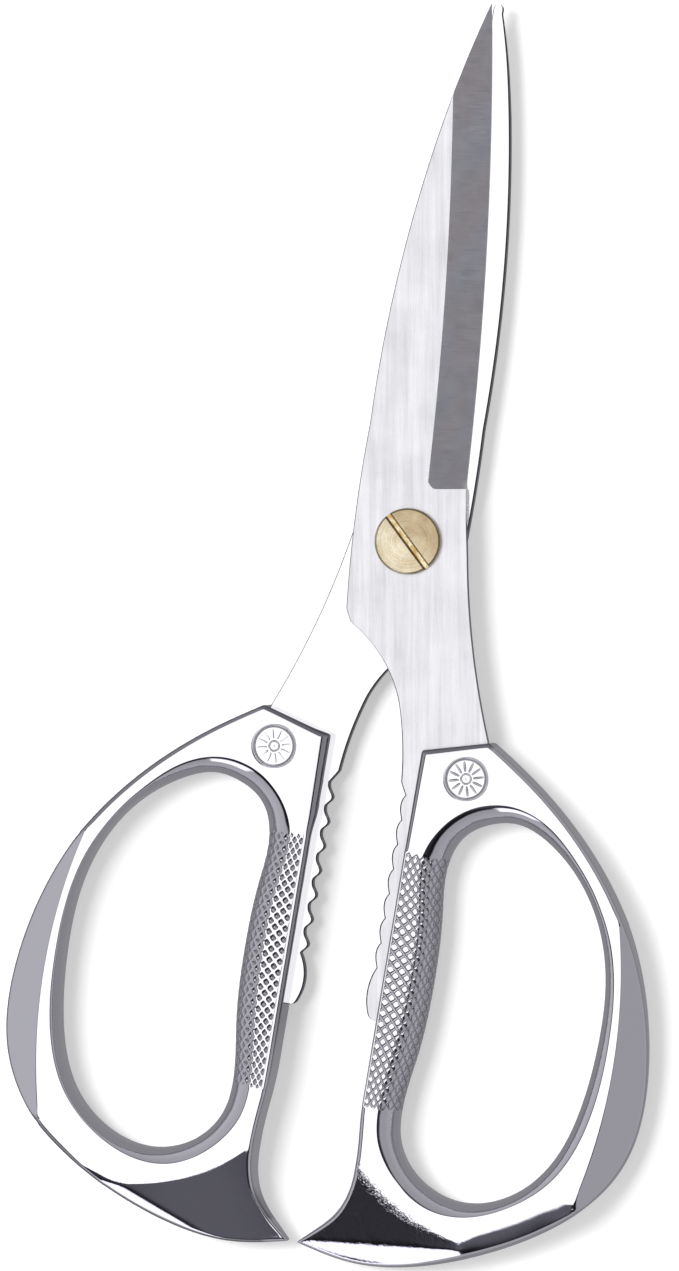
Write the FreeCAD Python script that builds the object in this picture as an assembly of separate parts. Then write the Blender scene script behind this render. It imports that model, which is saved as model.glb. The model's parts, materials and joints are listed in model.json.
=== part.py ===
"""Poultry shears with cast, chrome plated handles: FreeCAD 1.1 source, in millimetres.

The shears lie flat, closed, with the blades pointing along +Y and +Z up from the table.
Both halves are alike, the one turned over: the front half (front blade and right handle) is
modelled first, with the pivot axis at the drawing origin and the plane between the two blades
at height 0. The rear half is that half turned 180 degrees about Y. Everything is moved last,
so that the origin is the centre of the footprint, on the table.
"""

import FreeCAD, Part
import math
import os

from FreeCAD import Vector

# ---- Driving dimensions, in mm --------------------------------------------------------------
HANDLE_THICKNESS = 10.0
BLADE_THICKNESS = 2.5
BLADE_GAP = 0.10  # free space between the two blades' flat inner faces
EDGE_LAND = 0.30  # thickness left at the cutting edge
BEVEL_WIDTH = 6.1

HALF = HANDLE_THICKNESS / 2
INNER = BLADE_GAP / 2  # height of the front blade's inner face
OUTER = INNER + BLADE_THICKNESS  # height of its ground outer face

# Blade outline about the pivot.
TIP = (-0.6, 89.0)
EDGE_MIDDLE = (4.9, 49.5)
EDGE_HEEL = (8.1, 10.3)
SPINE_NOSE = (-2.7, 82.6)
SPINE_TURN = (-4.4, 76.0)
SPINE_BELLY = (-8.4, 50.0)
SPINE_STRAIGHT = (-9.5, 18.0)
SPINE_LOWER = (-9.3, 0.0)
SPINE_CORNER = (-8.3, -12.6)
CROTCH_TOP = (-7.2, -14.6)
CROTCH_MIDDLE = (-1.9, -18.7)
CROTCH_END = (2.7, -26.0)
JAW_THROAT = (4.5, -33.0)
JAW_START = (5.3, -39.0)
NECK_HEEL = (9.8, -0.8)
NECK_WAIST = (13.3, -16.0)
NECK_END = (18.3, -30.3)

# Nutcracker jaw: scallops along the inner edge of the tang.
JAW_VALLEY_X = 6.35
JAW_CREST_X = 5.25
FIRST_VALLEY_Y = -41.0
SCALLOP_PITCH = 4.08
SCALLOPS = 7
TANG_END_Y = -78.2
TANG_BACK_X = 11.4

# Ground bevel.
BEVEL_END = (3.0, 9.1)
BEVEL_END_TILT = 10.0  # degrees from square

# Handle casting.
SHOULDER_IN = (8.0, -33.2)
SHOULDER_OUT = (18.8, -30.2)
HORN_TIP = (0.6, -116.3)
GRIP_LOW = (8.0, -92.5)
BACK_OUTLINE = [
    SHOULDER_OUT,
    (26.0, -35.0),
    (34.0, -41.6),
    (41.0, -49.3),
    (46.2, -57.2),
    (50.2, -66.5),
    (52.6, -76.5),
    (53.2, -85.5),
    (51.8, -93.8),
    (47.4, -101.4),
    (40.0, -107.9),
    (30.0, -113.4),
    (20.0, -116.9),
    (10.0, -118.0),
    HORN_TIP,
]
HORN_INSIDE = [
    HORN_TIP,
    (2.9, -114.1),
    (5.8, -111.1),
    (7.8, -107.2),
    (8.5, -102.5),
    (8.3, -97.0),
    GRIP_LOW,
]
HORN_INSIDE_START = (1.0, 0.9)  # direction in which the edge leaves the tip
HORN_INSIDE_END = (0.0, 1.0)
FINGER_HOLE = [
    (25.0, -42.6),
    (31.2, -45.0),
    (36.8, -50.0),
    (41.2, -57.0),
    (43.7, -65.5),
    (44.2, -75.5),
    (43.1, -86.5),
    (40.0, -96.0),
    (34.6, -102.3),
    (27.0, -105.2),
    (19.7, -103.2),
    (15.1, -98.0),
    (14.1, -92.0),
    (15.2, -82.5),
    (15.85, -71.0),
    (15.3, -59.0),
    (14.9, -51.5),
    (17.0, -46.0),
    (20.7, -43.5),
]
RIM_ROUND = 2.2  # radius on the finger hole's edges
EDGE_CHAMFER = 0.6

# Facets on the handle's faces: the face falls away outside a circle, over part of a turn.
FACET_REACH = 24.0
CRESCENT_CENTRE = (-49.0, -79.1)
CRESCENT_RADIUS = 96.5
CRESCENT_SLOPE = 33.0
CRESCENT_SPAN = (-30.0, 60.0)  # first angle and turn, in degrees
HORN_CENTRE = (32.8, -77.9)
HORN_RADIUS = 33.8
HORN_SLOPE = 13.0
HORN_SPAN = (195.0, 85.0)

# Handle rivets.
RIVET_AT = (16.0, -36.6)
RIVET_SLEEVE_R = 2.0
RIVET_STEM_R = 1.3
ROSETTE_R = 3.6
ROSETTE_SEAT_R = 3.75
ROSETTE_THICKNESS = 1.0
ROSETTE_CHAMFER = 0.2
ROSETTE_SINK = 0.1  # how far the rosette lies below the handle's face
RIVET_END_GAP = 0.4  # free length at the end of the stem and of the sleeve
ROSETTE_FLUTES = 12
FLUTE_R = 0.3
FLUTE_START_R = 1.0
FLUTE_LENGTH = 2.1

# Pivot.
HEAD_R = 5.4
HEAD_HEIGHT = 2.0
HEAD_ROUND = 0.35
HEAD_FLOAT = 0.05  # free height under the screw head
SHOULDER_R = 3.0
PIVOT_CLEARANCE = 0.04
THREAD_R = 2.5
SLOT_WIDTH = 1.0
SLOT_DEPTH = 1.0
SLOT_ANGLE = -44.0
WASHER_IN_R = 2.6
WASHER_OUT_R = 4.3
WASHER_THICKNESS = 0.65
WASHER_SPLIT = 0.8
WASHER_SPLIT_ANGLE = 20.0
NUT_R = 4.8
NUT_THICKNESS = 1.6
NUT_SLOT_WIDTH = 1.3
NUT_SLOT_DEPTH = 0.8
NUT_SLOT_ANGLE = 35.0
NUT_CHAMFER = 0.3

UP = Vector(0, 0, 1)
TOLERANCE = 1e-6


# ---- Small helpers --------------------------------------------------------------------------
def at(point, z=0.0):
    return Vector(point[0], point[1], z)


def line(a, b):
    return Part.makeLine(at(a), at(b))


def arc(a, middle, b):
    return Part.Arc(at(a), at(middle), at(b)).toShape()


def spline(points, closed=False, start=None, end=None):
    """A smooth curve through the points, with its end directions where they are given."""
    curve = Part.BSplineCurve()
    places = [at(p) for p in points]
    if start is None:
        curve.interpolate(places, PeriodicFlag=closed)
    else:
        curve.interpolate(places, InitialTangent=at(start), FinalTangent=at(end))
    return curve.toShape()


def prism(edges, low, high):
    """The solid between heights low and high inside a closed run of edges."""
    face = Part.Face(Part.Wire(edges))
    face.translate(Vector(0, 0, low))
    return face.extrude(Vector(0, 0, high - low))


def cylinder(radius, low, high, centre=(0.0, 0.0)):
    return Part.makeCylinder(radius, high - low, at(centre, low), UP)


def slab(length, width, low, high, angle, centre=(0.0, 0.0)):
    """A bar centred on a point, turned by an angle in the plane."""
    bar = Part.makeBox(length, width, high - low, Vector(-length / 2, -width / 2, low))
    bar.rotate(Vector(0, 0, 0), UP, angle)
    bar.translate(at(centre))
    return bar


def circle_through(a, b, c):
    """Centre and radius of the circle through three points."""
    circle = Part.Arc(at(a), at(b), at(c)).toShape().Curve
    return circle.Center, circle.Radius


def ring_cutter(centre, section, start, sweep):
    """A section of (radius, height) points swept about a vertical axis, angles in degrees."""
    points = [Vector(r, 0, z) for r, z in section]
    face = Part.Face(Part.makePolygon(points + points[:1]))
    face.rotate(Vector(0, 0, 0), UP, start)
    face.translate(at(centre))
    return face.revolve(at(centre), UP, sweep)


def rims_at(solid, height):
    """Flat edges of a solid at one height."""
    flat = [e for e in solid.Edges if e.BoundBox.ZLength < TOLERANCE]
    return [e for e in flat if abs(e.BoundBox.ZMin - height) < TOLERANCE]


def turned_over(shape):
    """The same piece on the other half: turned 180 degrees about the shears' long axis."""
    copy = shape.copy()
    copy.rotate(Vector(0, 0, 0), Vector(0, 1, 0), 180)
    return copy


# ---- Blades ---------------------------------------------------------------------------------
def jaw_edges():
    """Scallops of the nutcracker jaw, then the rounded end of the tang."""
    edges = [line(JAW_START, (JAW_VALLEY_X, FIRST_VALLEY_Y))]
    for i in range(SCALLOPS):
        top = FIRST_VALLEY_Y - i * SCALLOP_PITCH
        low = top - SCALLOP_PITCH
        crest = (JAW_CREST_X, (top + low) / 2)
        edges.append(arc((JAW_VALLEY_X, top), crest, (JAW_VALLEY_X, low)))
    last_valley = (JAW_VALLEY_X, FIRST_VALLEY_Y - SCALLOPS * SCALLOP_PITCH)
    lobe_end = (JAW_CREST_X + 0.6, TANG_END_Y + 1.2)
    edges.append(arc(last_valley, (JAW_CREST_X - 0.2, TANG_END_Y + 4.4), lobe_end))
    edges.append(arc(lobe_end, (JAW_CREST_X + 1.1, TANG_END_Y + 0.35), (JAW_CREST_X + 2.2, TANG_END_Y)))
    return edges


def blade_outline():
    tang_foot = (TANG_BACK_X - 1.4, TANG_END_Y)
    tang_heel = (TANG_BACK_X, TANG_END_Y + 1.4)
    tang_back = [
        tang_heel,
        (TANG_BACK_X, -52.0),
        (12.6, -47.0),
        (17.0, -41.2),
        (18.9, -37.0),
        (18.9, -32.0),
        NECK_END,
    ]
    edges = [
        arc(TIP, SPINE_NOSE, SPINE_TURN),
        arc(SPINE_TURN, SPINE_BELLY, SPINE_STRAIGHT),
        arc(SPINE_STRAIGHT, SPINE_LOWER, SPINE_CORNER),
        line(SPINE_CORNER, CROTCH_TOP),
        arc(CROTCH_TOP, CROTCH_MIDDLE, CROTCH_END),
        arc(CROTCH_END, JAW_THROAT, JAW_START),
    ]
    edges += jaw_edges()
    edges.append(line((JAW_CREST_X + 2.2, TANG_END_Y), tang_foot))
    edges.append(line(tang_foot, tang_heel))
    edges += [line(a, b) for a, b in zip(tang_back, tang_back[1:])]
    edges.append(arc(NECK_END, NECK_WAIST, NECK_HEEL))
    edges.append(line(NECK_HEEL, EDGE_HEEL))
    edges.append(arc(EDGE_HEEL, EDGE_MIDDLE, TIP))
    return edges


def bevel_cutter():
    """What grinding takes off the outer face along the cutting edge, up to a square end."""
    centre, radius = circle_through(EDGE_HEEL, EDGE_MIDDLE, TIP)
    drop = BLADE_THICKNESS - EDGE_LAND
    past = 2.0
    section = [
        (radius - BEVEL_WIDTH, OUTER),
        (radius + past, OUTER - drop * (BEVEL_WIDTH + past) / BEVEL_WIDTH),
        (radius + past, OUTER + past),
        (radius - BEVEL_WIDTH, OUTER + past),
    ]
    low = math.degrees(math.asin((EDGE_HEEL[1] - 6 - centre.y) / radius))
    high = math.degrees(math.asin((TIP[1] + 6 - centre.y) / radius))
    cutter = ring_cutter((centre.x, centre.y), section, low, high - low)
    keep = Part.makeBox(60, 120, 20, Vector(-30, 0, -10))
    keep.rotate(Vector(0, 0, 0), UP, BEVEL_END_TILT)
    keep.translate(at(BEVEL_END))
    return cutter.common(keep)


def blade(pivot_hole_r):
    """Ground blade, neck and tang in one flat piece, with its pivot and rivet holes."""
    plate = prism(blade_outline(), INNER, OUTER)
    plate = plate.cut(bevel_cutter())
    holes = [
        cylinder(pivot_hole_r, INNER - 1, OUTER + 1),
        cylinder(RIVET_SLEEVE_R, INNER - 1, OUTER + 1, RIVET_AT),
    ]
    return plate.cut(holes)


# ---- Handles --------------------------------------------------------------------------------
def facet_cutters(centre, radius, slope, span):
    """Conical cuts that take the front and back faces down outside a circle."""
    fall = FACET_REACH * math.tan(math.radians(slope))
    section = [
        (radius, HALF),
        (radius + FACET_REACH, HALF - fall),
        (radius + FACET_REACH, HALF + 2),
        (radius, HALF + 2),
    ]
    front = ring_cutter(centre, section, *span)
    back = front.mirror(Vector(0, 0, 0), UP)
    return [front, back]


def handle(tang):
    """Cast handle: ring, horn and shoulder, closed over the blade's tang."""
    outline = [
        line(SHOULDER_IN, SHOULDER_OUT),
        spline(BACK_OUTLINE),
        spline(HORN_INSIDE, start=HORN_INSIDE_START, end=HORN_INSIDE_END),
        line(GRIP_LOW, SHOULDER_IN),
    ]
    body = prism(outline, -HALF, HALF)
    body = body.makeChamfer(EDGE_CHAMFER, rims_at(body, HALF) + rims_at(body, -HALF))
    body = body.cut(prism([spline(FINGER_HOLE, closed=True)], -HALF - 1, HALF + 1))
    rims = rims_at(body, HALF) + rims_at(body, -HALF)
    body = body.makeFillet(RIM_ROUND, [e for e in rims if e.Closed])
    body = body.cut(facet_cutters(CRESCENT_CENTRE, CRESCENT_RADIUS, CRESCENT_SLOPE, CRESCENT_SPAN))
    body = body.cut(facet_cutters(HORN_CENTRE, HORN_RADIUS, HORN_SLOPE, HORN_SPAN))
    seat = ROSETTE_THICKNESS + ROSETTE_SINK
    holes = [
        cylinder(RIVET_SLEEVE_R, -HALF, HALF, RIVET_AT),
        cylinder(ROSETTE_SEAT_R, HALF - seat, HALF + 1, RIVET_AT),
        cylinder(ROSETTE_SEAT_R, -HALF - 1, -HALF + seat, RIVET_AT),
    ]
    return body.cut(holes).cut(tang)


# ---- Handle rivets --------------------------------------------------------------------------
def rosette():
    """Fluted disc that closes a rivet, with its face up at the handle's front."""
    face_z = HALF - ROSETTE_SINK
    disc = cylinder(ROSETTE_R, face_z - ROSETTE_THICKNESS, face_z)
    disc = disc.makeChamfer(ROSETTE_CHAMFER, rims_at(disc, face_z))
    flutes = []
    for i in range(ROSETTE_FLUTES):
        start = Vector(FLUTE_START_R, 0, face_z + FLUTE_R / 3)
        flute = Part.makeCylinder(FLUTE_R, FLUTE_LENGTH, start, Vector(1, 0, 0))
        flute.rotate(Vector(0, 0, 0), UP, i * 360.0 / ROSETTE_FLUTES)
        flutes.append(flute)
    return disc.cut(flutes)


def rivet_post():
    """Front half of the two-piece handle rivet: rosette and solid stem."""
    seat_z = HALF - ROSETTE_SINK - ROSETTE_THICKNESS
    stem = cylinder(RIVET_STEM_R, -seat_z + RIVET_END_GAP, seat_z + ROSETTE_THICKNESS / 2)
    post = rosette().fuse(stem).removeSplitter()
    post.translate(at(RIVET_AT))
    return post


def rivet_cap():
    """Back half of the handle rivet: rosette and the sleeve that takes the stem."""
    seat_z = HALF - ROSETTE_SINK - ROSETTE_THICKNESS
    sleeve_end = seat_z - RIVET_END_GAP
    cap = rosette()
    cap.rotate(Vector(0, 0, 0), Vector(1, 0, 0), 180)
    cap = cap.fuse(cylinder(RIVET_SLEEVE_R, -seat_z - ROSETTE_THICKNESS / 2, sleeve_end)).removeSplitter()
    cap = cap.cut(cylinder(RIVET_STEM_R, -seat_z, sleeve_end + 1))
    cap.translate(at(RIVET_AT))
    return cap


# ---- Pivot ----------------------------------------------------------------------------------
def pivot_screw():
    """Slotted shoulder screw: the front blade turns on its shoulder, its thread holds the rear one."""
    head_z = OUTER + HEAD_FLOAT
    head_top = head_z + HEAD_HEIGHT
    head = cylinder(HEAD_R, head_z, head_top)
    head = head.makeFillet(HEAD_ROUND, rims_at(head, head_top))
    head = head.cut(slab(4 * HEAD_R, SLOT_WIDTH, head_top - SLOT_DEPTH, head_top + 1, SLOT_ANGLE))
    shoulder = cylinder(SHOULDER_R, -INNER, head_z + 0.1)
    nut_face = -(OUTER + WASHER_THICKNESS + NUT_THICKNESS)
    thread = cylinder(THREAD_R, nut_face + 0.1, -INNER + 0.1)
    return head.fuse([shoulder, thread]).removeSplitter()


def pivot_lock_washer():
    low = -(OUTER + WASHER_THICKNESS)
    ring = cylinder(WASHER_OUT_R, low, -OUTER).cut(cylinder(WASHER_IN_R, low - 1, 0))
    middle_r = (WASHER_IN_R + WASHER_OUT_R) / 2
    turn = math.radians(WASHER_SPLIT_ANGLE)
    middle = (middle_r * math.cos(turn), middle_r * math.sin(turn))
    split = slab(WASHER_OUT_R, WASHER_SPLIT, low - 1, 0, WASHER_SPLIT_ANGLE, middle)
    return ring.cut(split)


def pivot_nut():
    high = -(OUTER + WASHER_THICKNESS)
    low = high - NUT_THICKNESS
    disc = cylinder(NUT_R, low, high)
    disc = disc.makeChamfer(NUT_CHAMFER, rims_at(disc, low))
    disc = disc.cut(cylinder(THREAD_R, low - 1, high + 1))
    return disc.cut(slab(4 * NUT_R, NUT_SLOT_WIDTH, low - 1, low + NUT_SLOT_DEPTH, NUT_SLOT_ANGLE))


# ---- Assembly -------------------------------------------------------------------------------
def pieces():
    front = blade(SHOULDER_R + PIVOT_CLEARANCE)
    rear = blade(THREAD_R)
    right = handle(front)
    post, cap = rivet_post(), rivet_cap()
    return {
        "front_blade": front,
        "right_handle": right,
        "right_rivet_post": post,
        "right_rivet_cap": cap,
        "rear_blade": turned_over(rear),
        "left_handle": turned_over(right),
        "left_rivet_post": turned_over(cap_side_swap(post)),
        "left_rivet_cap": turned_over(cap_side_swap(cap)),
        "pivot_screw": pivot_screw(),
        "pivot_lock_washer": pivot_lock_washer(),
        "pivot_nut": pivot_nut(),
    }


def cap_side_swap(shape):
    """The piece turned end for end in its hole, so that every post shows at the front."""
    copy = shape.copy()
    copy.rotate(at(RIVET_AT), Vector(0, 1, 0), 180)
    return copy


def main():
    os.makedirs("parts", exist_ok=True)
    made = pieces()
    box = Part.makeCompound(list(made.values())).optimalBoundingBox(False, False)
    to_origin = Vector(-box.Center.x, -box.Center.y, -box.ZMin)
    for name, shape in made.items():
        solids = shape.Solids
        shape = solids[0] if len(solids) == 1 else Part.makeCompound(solids)
        shape.translate(to_origin)
        shape.exportStep(f"parts/{name}.step")
        print(f"{name}: {len(solids)} solid, valid {shape.isValid()}, {shape.Volume:.1f} mm3")
    print(f"pivot axis at x {to_origin.x:.4f}, y {to_origin.y:.4f}; blade plane z {to_origin.z:.4f}")
    print(f"overall {box.XLength:.2f} x {box.YLength:.2f} x {box.ZLength:.2f} mm")


main()
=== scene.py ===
"""Poultry shears: the visual model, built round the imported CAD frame.

Shapes are worked out in millimetres about the pivot axis, with the plane between the blades at
height 0, for the front half: the front blade and the right handle. The rear half is the same
shape turned 180 degrees about the long axis. Only the last step, place(), goes to metres.
"""

import json
import math

import bmesh
import bpy
import numpy as np
from mathutils import Matrix, Vector


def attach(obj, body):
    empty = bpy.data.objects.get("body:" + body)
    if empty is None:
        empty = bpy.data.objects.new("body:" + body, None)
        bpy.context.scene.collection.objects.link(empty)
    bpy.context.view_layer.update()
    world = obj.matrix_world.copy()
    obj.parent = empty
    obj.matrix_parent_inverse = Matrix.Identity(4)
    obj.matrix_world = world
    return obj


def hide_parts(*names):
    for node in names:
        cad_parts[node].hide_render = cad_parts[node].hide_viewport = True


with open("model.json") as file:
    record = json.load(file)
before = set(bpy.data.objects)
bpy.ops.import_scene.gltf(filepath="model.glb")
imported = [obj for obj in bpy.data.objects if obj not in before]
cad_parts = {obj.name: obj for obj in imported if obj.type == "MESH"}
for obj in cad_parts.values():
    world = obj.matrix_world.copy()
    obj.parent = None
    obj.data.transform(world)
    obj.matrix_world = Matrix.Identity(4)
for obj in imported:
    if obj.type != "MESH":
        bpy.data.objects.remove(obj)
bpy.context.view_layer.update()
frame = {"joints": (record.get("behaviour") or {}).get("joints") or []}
PIVOT = Vector(frame["joints"][0]["pos_m"])
MM = 0.001

# ---- Driving dimensions, in mm about the pivot ------------------------------------------------
HALF = 5.0  # half the handle's thickness
BLADE_IN = 0.05
BLADE_OUT = 2.55
EDGE_LAND = 0.30
BEVEL_WIDTH = 6.1

SHOULDER_IN = (8.0, -33.2)
SHOULDER_OUT = (18.8, -30.2)
HORN_TIP = (0.6, -116.3)
GRIP_LOW = (8.0, -92.5)
BACK_OUTLINE = [
    SHOULDER_OUT, (26.0, -35.0), (34.0, -41.6), (41.0, -49.3), (46.2, -57.2), (50.2, -66.5),
    (52.6, -76.5), (53.2, -85.5), (51.8, -93.8), (47.4, -101.4), (40.0, -107.9), (30.0, -113.4),
    (20.0, -116.9), (10.0, -118.0), HORN_TIP,
]
HORN_INSIDE = [
    HORN_TIP, (2.9, -114.1), (5.8, -111.1), (7.8, -107.2), (8.5, -102.5), (8.3, -97.0), GRIP_LOW,
]
FINGER_HOLE = [
    (25.0, -42.6), (31.2, -45.0), (36.8, -50.0), (41.2, -57.0), (43.7, -65.5), (44.2, -75.5),
    (43.1, -86.5), (40.0, -96.0), (34.6, -102.3), (27.0, -105.2), (19.7, -103.2), (15.1, -98.0),
    (14.1, -92.0), (15.2, -82.5), (15.85, -71.0), (15.3, -59.0), (14.9, -51.5), (17.0, -46.0),
    (20.7, -43.5),
]
LIP_EDGE = [
    (24.0, -39.8), (31.4, -42.5), (35.4, -46.0), (38.85, -50.0), (41.6, -54.3), (43.8, -59.0),
    (45.2, -64.0), (46.2, -75.0), (45.3, -87.0), (43.7, -93.0), (40.9, -98.5), (37.0, -102.6),
    (32.0, -105.7), (25.0, -107.4), (20.4, -106.6), (16.4, -104.2), (13.4, -101.0), (11.4, -97.2),
    (10.7, -92.6), (11.6, -81.5), (12.2, -71.0), (11.6, -58.5), (11.0, -50.2), (13.6, -44.7),
    (18.0, -41.1),
]
CRESCENT = (np.array((-49.0, -79.1)), 96.5)  # a facet starts at a circle: its centre and radius
CRESCENT_SLOPE = 33.0
HORN = (np.array((32.8, -77.9)), 33.8)
HORN_SLOPE = 13.0
HORN_BELOW = -92.0  # the horn facet lies below this height
LENS_BELOW = -100.0  # and the small flat along its lower edge below this one
LENS_SLOPE = 16.0
UNDERSIDE = -108.0  # where the handle's lower end begins
ROUNDING_WIDTH = 4.6  # of the soft rounding along the handle's lower edge
ROUNDING_DEPTH = 0.75
ROUNDING_ENDS = ((49.0, -99.6), (20.0, -116.9))
EDGE_WIDTH = 0.85  # of the rounded edge round the outside
EDGE_WIDEST = 1.0
CORNER_ROUND = 0.45

KNURL_TOP, KNURL_LOW = -50.0, -92.0
KNURL_PITCH = 1.83  # along the grip and round it; the grooves run at 45 degrees
KNURL_CELLS = 10  # mesh steps in one pitch
GROOVE_DEPTH = 0.20  # between the studs
PIT_DEPTH = 0.24
LATTICE = 0.22  # half width of the lattice round the pits, in half pitches

# The two handles were polished differently. crease is the upper edge of the small flat under the
# horn and soft its half width; rounding is how far the lower edge is worn; hole is how far the
# finger hole is opened on its outer side; grip_edge and low_edge are the widths of the rounded
# edge beside the knurl and under the horn; worn is how pitted the horn's skin is; painted_shade is
# how much shade is painted into the plate round the outer back edge; proud is how far the side
# towards the gap stands out. The knurl is a field of studs, or with pits a lattice round them.
RIGHT_FINISH = {
    "crease": ((5.5, -115.2), (27.0, -112.6)), "soft": 0.15, "rounding": 1.0, "hole": 0.0,
    "grip_edge": 0.3, "low_edge": 0.9, "pits": False, "worn": 1.0, "painted_shade": 0.0, "proud": 0.0,
}
# Only the left handle has shade painted into the plate round its outer back edge.
LEFT_FINISH = {
    "crease": ((15.5, -117.0), (29.6, -111.7)), "soft": 0.9, "rounding": 0.15, "hole": 1.0,
    "grip_edge": 0.6, "low_edge": 0.5, "pits": True, "worn": 0.0, "painted_shade": 0.70, "proud": 0.75,
}

RIVET_AT = (16.0, -36.6)
SEAT_R = 3.75
SEAT_Z = 3.85
SEAT_BORE = 2.0  # height of the tool that bores a seat
ROSETTE_R = 3.6
ROSETTE_TOP = HALF - 0.1
PETALS = 12
LEAF_FROM, LEAF_TO = 1.15, 2.98
RING_R, RING_DEPTH = 3.26, 0.14
BOSS_R, BOSS_DEPTH = 0.80, 0.06
ROSETTE_HOLE = 0.03  # radius left open at the grid's middle
LEAF_DEPTHS = {1: 0.065, -1: 0.04}  # the left handle's rosettes are polished flatter

HEAD_R = 5.4
HEAD_LOW = BLADE_OUT + 0.05
HEAD_TOP = HEAD_LOW + 2.0
SLOT_WIDTH = 1.0
SLOT_DEPTH = 1.0
SLOT_ANGLE = -44.0


# ---- Curves in the plane ----------------------------------------------------------------------
def cubic(points, closed=False, ends=None, step=0.1):
    """Points along the smooth curve through the given ones, about step apart."""
    p = np.array(points, float)
    if closed:
        p = np.vstack([p, p[:1]])
    h = np.linalg.norm(np.diff(p, axis=0), axis=1)
    knots = np.concatenate([[0], np.cumsum(h)])
    n = len(p)
    slopes = np.diff(p, axis=0) / h[:, None]
    a, b = np.zeros((n, n)), np.zeros((n, 2))
    for i in range(1, n - 1):
        a[i, i - 1 : i + 2] = h[i - 1], 2 * (h[i - 1] + h[i]), h[i]
        b[i] = 6 * (slopes[i] - slopes[i - 1])
    if closed:
        a[0, 0], a[0, -1] = 1, -1
        a[-1, [0, 1, -2, -1]] = 2 * h[0], h[0], h[-1], 2 * h[-1]
        b[-1] = 6 * (slopes[0] - slopes[-1])
    elif ends is None:
        a[0, 0] = a[-1, -1] = 1
    else:
        start, end = (np.array(e) / np.linalg.norm(e) for e in ends)
        a[0, :2] = 2 * h[0], h[0]
        a[-1, -2:] = h[-1], 2 * h[-1]
        b[0], b[-1] = 6 * (slopes[0] - start), 6 * (end - slopes[-1])
    bend = np.linalg.solve(a, b)
    s = np.linspace(0, knots[-1], int(knots[-1] / step) + 2)
    k = np.clip(np.searchsorted(knots, s, side="right") - 1, 0, n - 2)
    low, high = (s - knots[k])[:, None], (knots[k + 1] - s)[:, None]
    hk = h[k][:, None]
    return (
        bend[k] * high**3 / (6 * hk)
        + bend[k + 1] * low**3 / (6 * hk)
        + (p[k] / hk - bend[k] * hk / 6) * high
        + (p[k + 1] / hk - bend[k + 1] * hk / 6) * low
    )


def lengths(line):
    return np.concatenate([[0], np.cumsum(np.linalg.norm(np.diff(line, axis=0), axis=1))])


def at_lengths(line, s):
    """Points of a polyline at the given lengths along it."""
    along = lengths(line)
    return np.stack([np.interp(s, along, line[:, i]) for i in range(line.shape[1])], axis=1)


def closest(line, point):
    """Index of the polyline's point that is closest to a given one."""
    return int(np.argmin(np.linalg.norm(line - np.array(point), axis=1)))


def circle_of(a, b, c):
    """Centre and radius of the circle through three points."""
    (ax, ay), (bx, by), (cx, cy) = a, b, c
    aa, bb, cc = ax**2 + ay**2, bx**2 + by**2, cx**2 + cy**2
    d = 2 * (ax * (by - cy) + bx * (cy - ay) + cx * (ay - by))
    x = (aa * (by - cy) + bb * (cy - ay) + cc * (ay - by)) / d
    y = (aa * (cx - bx) + bb * (ax - cx) + cc * (bx - ax)) / d
    return np.array((x, y)), math.hypot(ax - x, ay - y)


def arc(a, middle, b, step=0.25):
    """Points along the circle arc through three points."""
    centre, radius = circle_of(a, middle, b)
    first, mid, last = (math.atan2(y - centre[1], x - centre[0]) for x, y in (a, middle, b))
    turn = (last - first) % (2 * math.pi)
    if (mid - first) % (2 * math.pi) > turn:
        turn -= 2 * math.pi
    count = max(3, int(abs(turn) * radius / step) + 2)
    angles = first + np.linspace(0, turn, count)
    return centre + radius * np.column_stack([np.cos(angles), np.sin(angles)])


def joined(*parts):
    """One polyline from several that follow on from each other."""
    rest = [np.array(p)[1:] for p in parts[1:]]
    return np.vstack([np.array(parts[0])] + rest)


def slope(degrees):
    return math.tan(math.radians(degrees))


def outside(points, circle):
    """How far points in the plane lie outside a circle."""
    centre, radius = circle
    return np.linalg.norm(points - centre, axis=-1) - radius


def once_round(count):
    """Evenly spaced angles once round."""
    return np.linspace(0, 2 * math.pi, count, endpoint=False)


def on_circle(radius, angle, height):
    """Points about the axis. Each value is one number, or a list as long as the others'."""
    x, y, z = np.broadcast_arrays(radius * np.cos(angle), radius * np.sin(angle), height)
    return np.column_stack([x, y, z])


def smoothstep(x):
    x = np.clip(x, 0, 1)
    return x * x * (3 - 2 * x)


def crossing(a, b, line):
    """Share of the way from a to b at which the segment first crosses a polyline, or None."""
    p, e, d = line[:-1], np.diff(line, axis=0), b - a
    den = d[0] * e[:, 1] - d[1] * e[:, 0]
    den = np.where(np.abs(den) < 1e-12, 1e-12, den)
    t = ((p - a)[:, 0] * e[:, 1] - (p - a)[:, 1] * e[:, 0]) / den
    s = ((p - a)[:, 0] * d[1] - (p - a)[:, 1] * d[0]) / den
    hit = t[(t >= 0) & (t <= 1) & (s >= -1e-9) & (s <= 1)]
    return float(hit.min()) if len(hit) else None


# ---- Meshes -----------------------------------------------------------------------------------
def grid_faces(rows, columns, close_rows=False, close_columns=False):
    """Quads of a grid whose vertex (i, j) has index i * columns + j."""
    i = np.arange(rows if close_rows else rows - 1)
    j = np.arange(columns if close_columns else columns - 1)
    i, j = (x.ravel() for x in np.meshgrid(i, j, indexing="ij"))
    i2, j2 = (i + 1) % rows, (j + 1) % columns
    corners = [i * columns + j, i * columns + j2, i2 * columns + j2, i2 * columns + j]
    return np.stack(corners, axis=1)


def make_mesh(name, points, faces):
    mesh = bpy.data.meshes.new(name)
    mesh.from_pydata(np.asarray(points).tolist(), [], [list(map(int, f)) for f in faces])
    mesh.update()
    return mesh


def add_object(name, data):
    """A new object in the scene."""
    thing = bpy.data.objects.new(name, data)
    bpy.context.scene.collection.objects.link(thing)
    return thing


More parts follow.
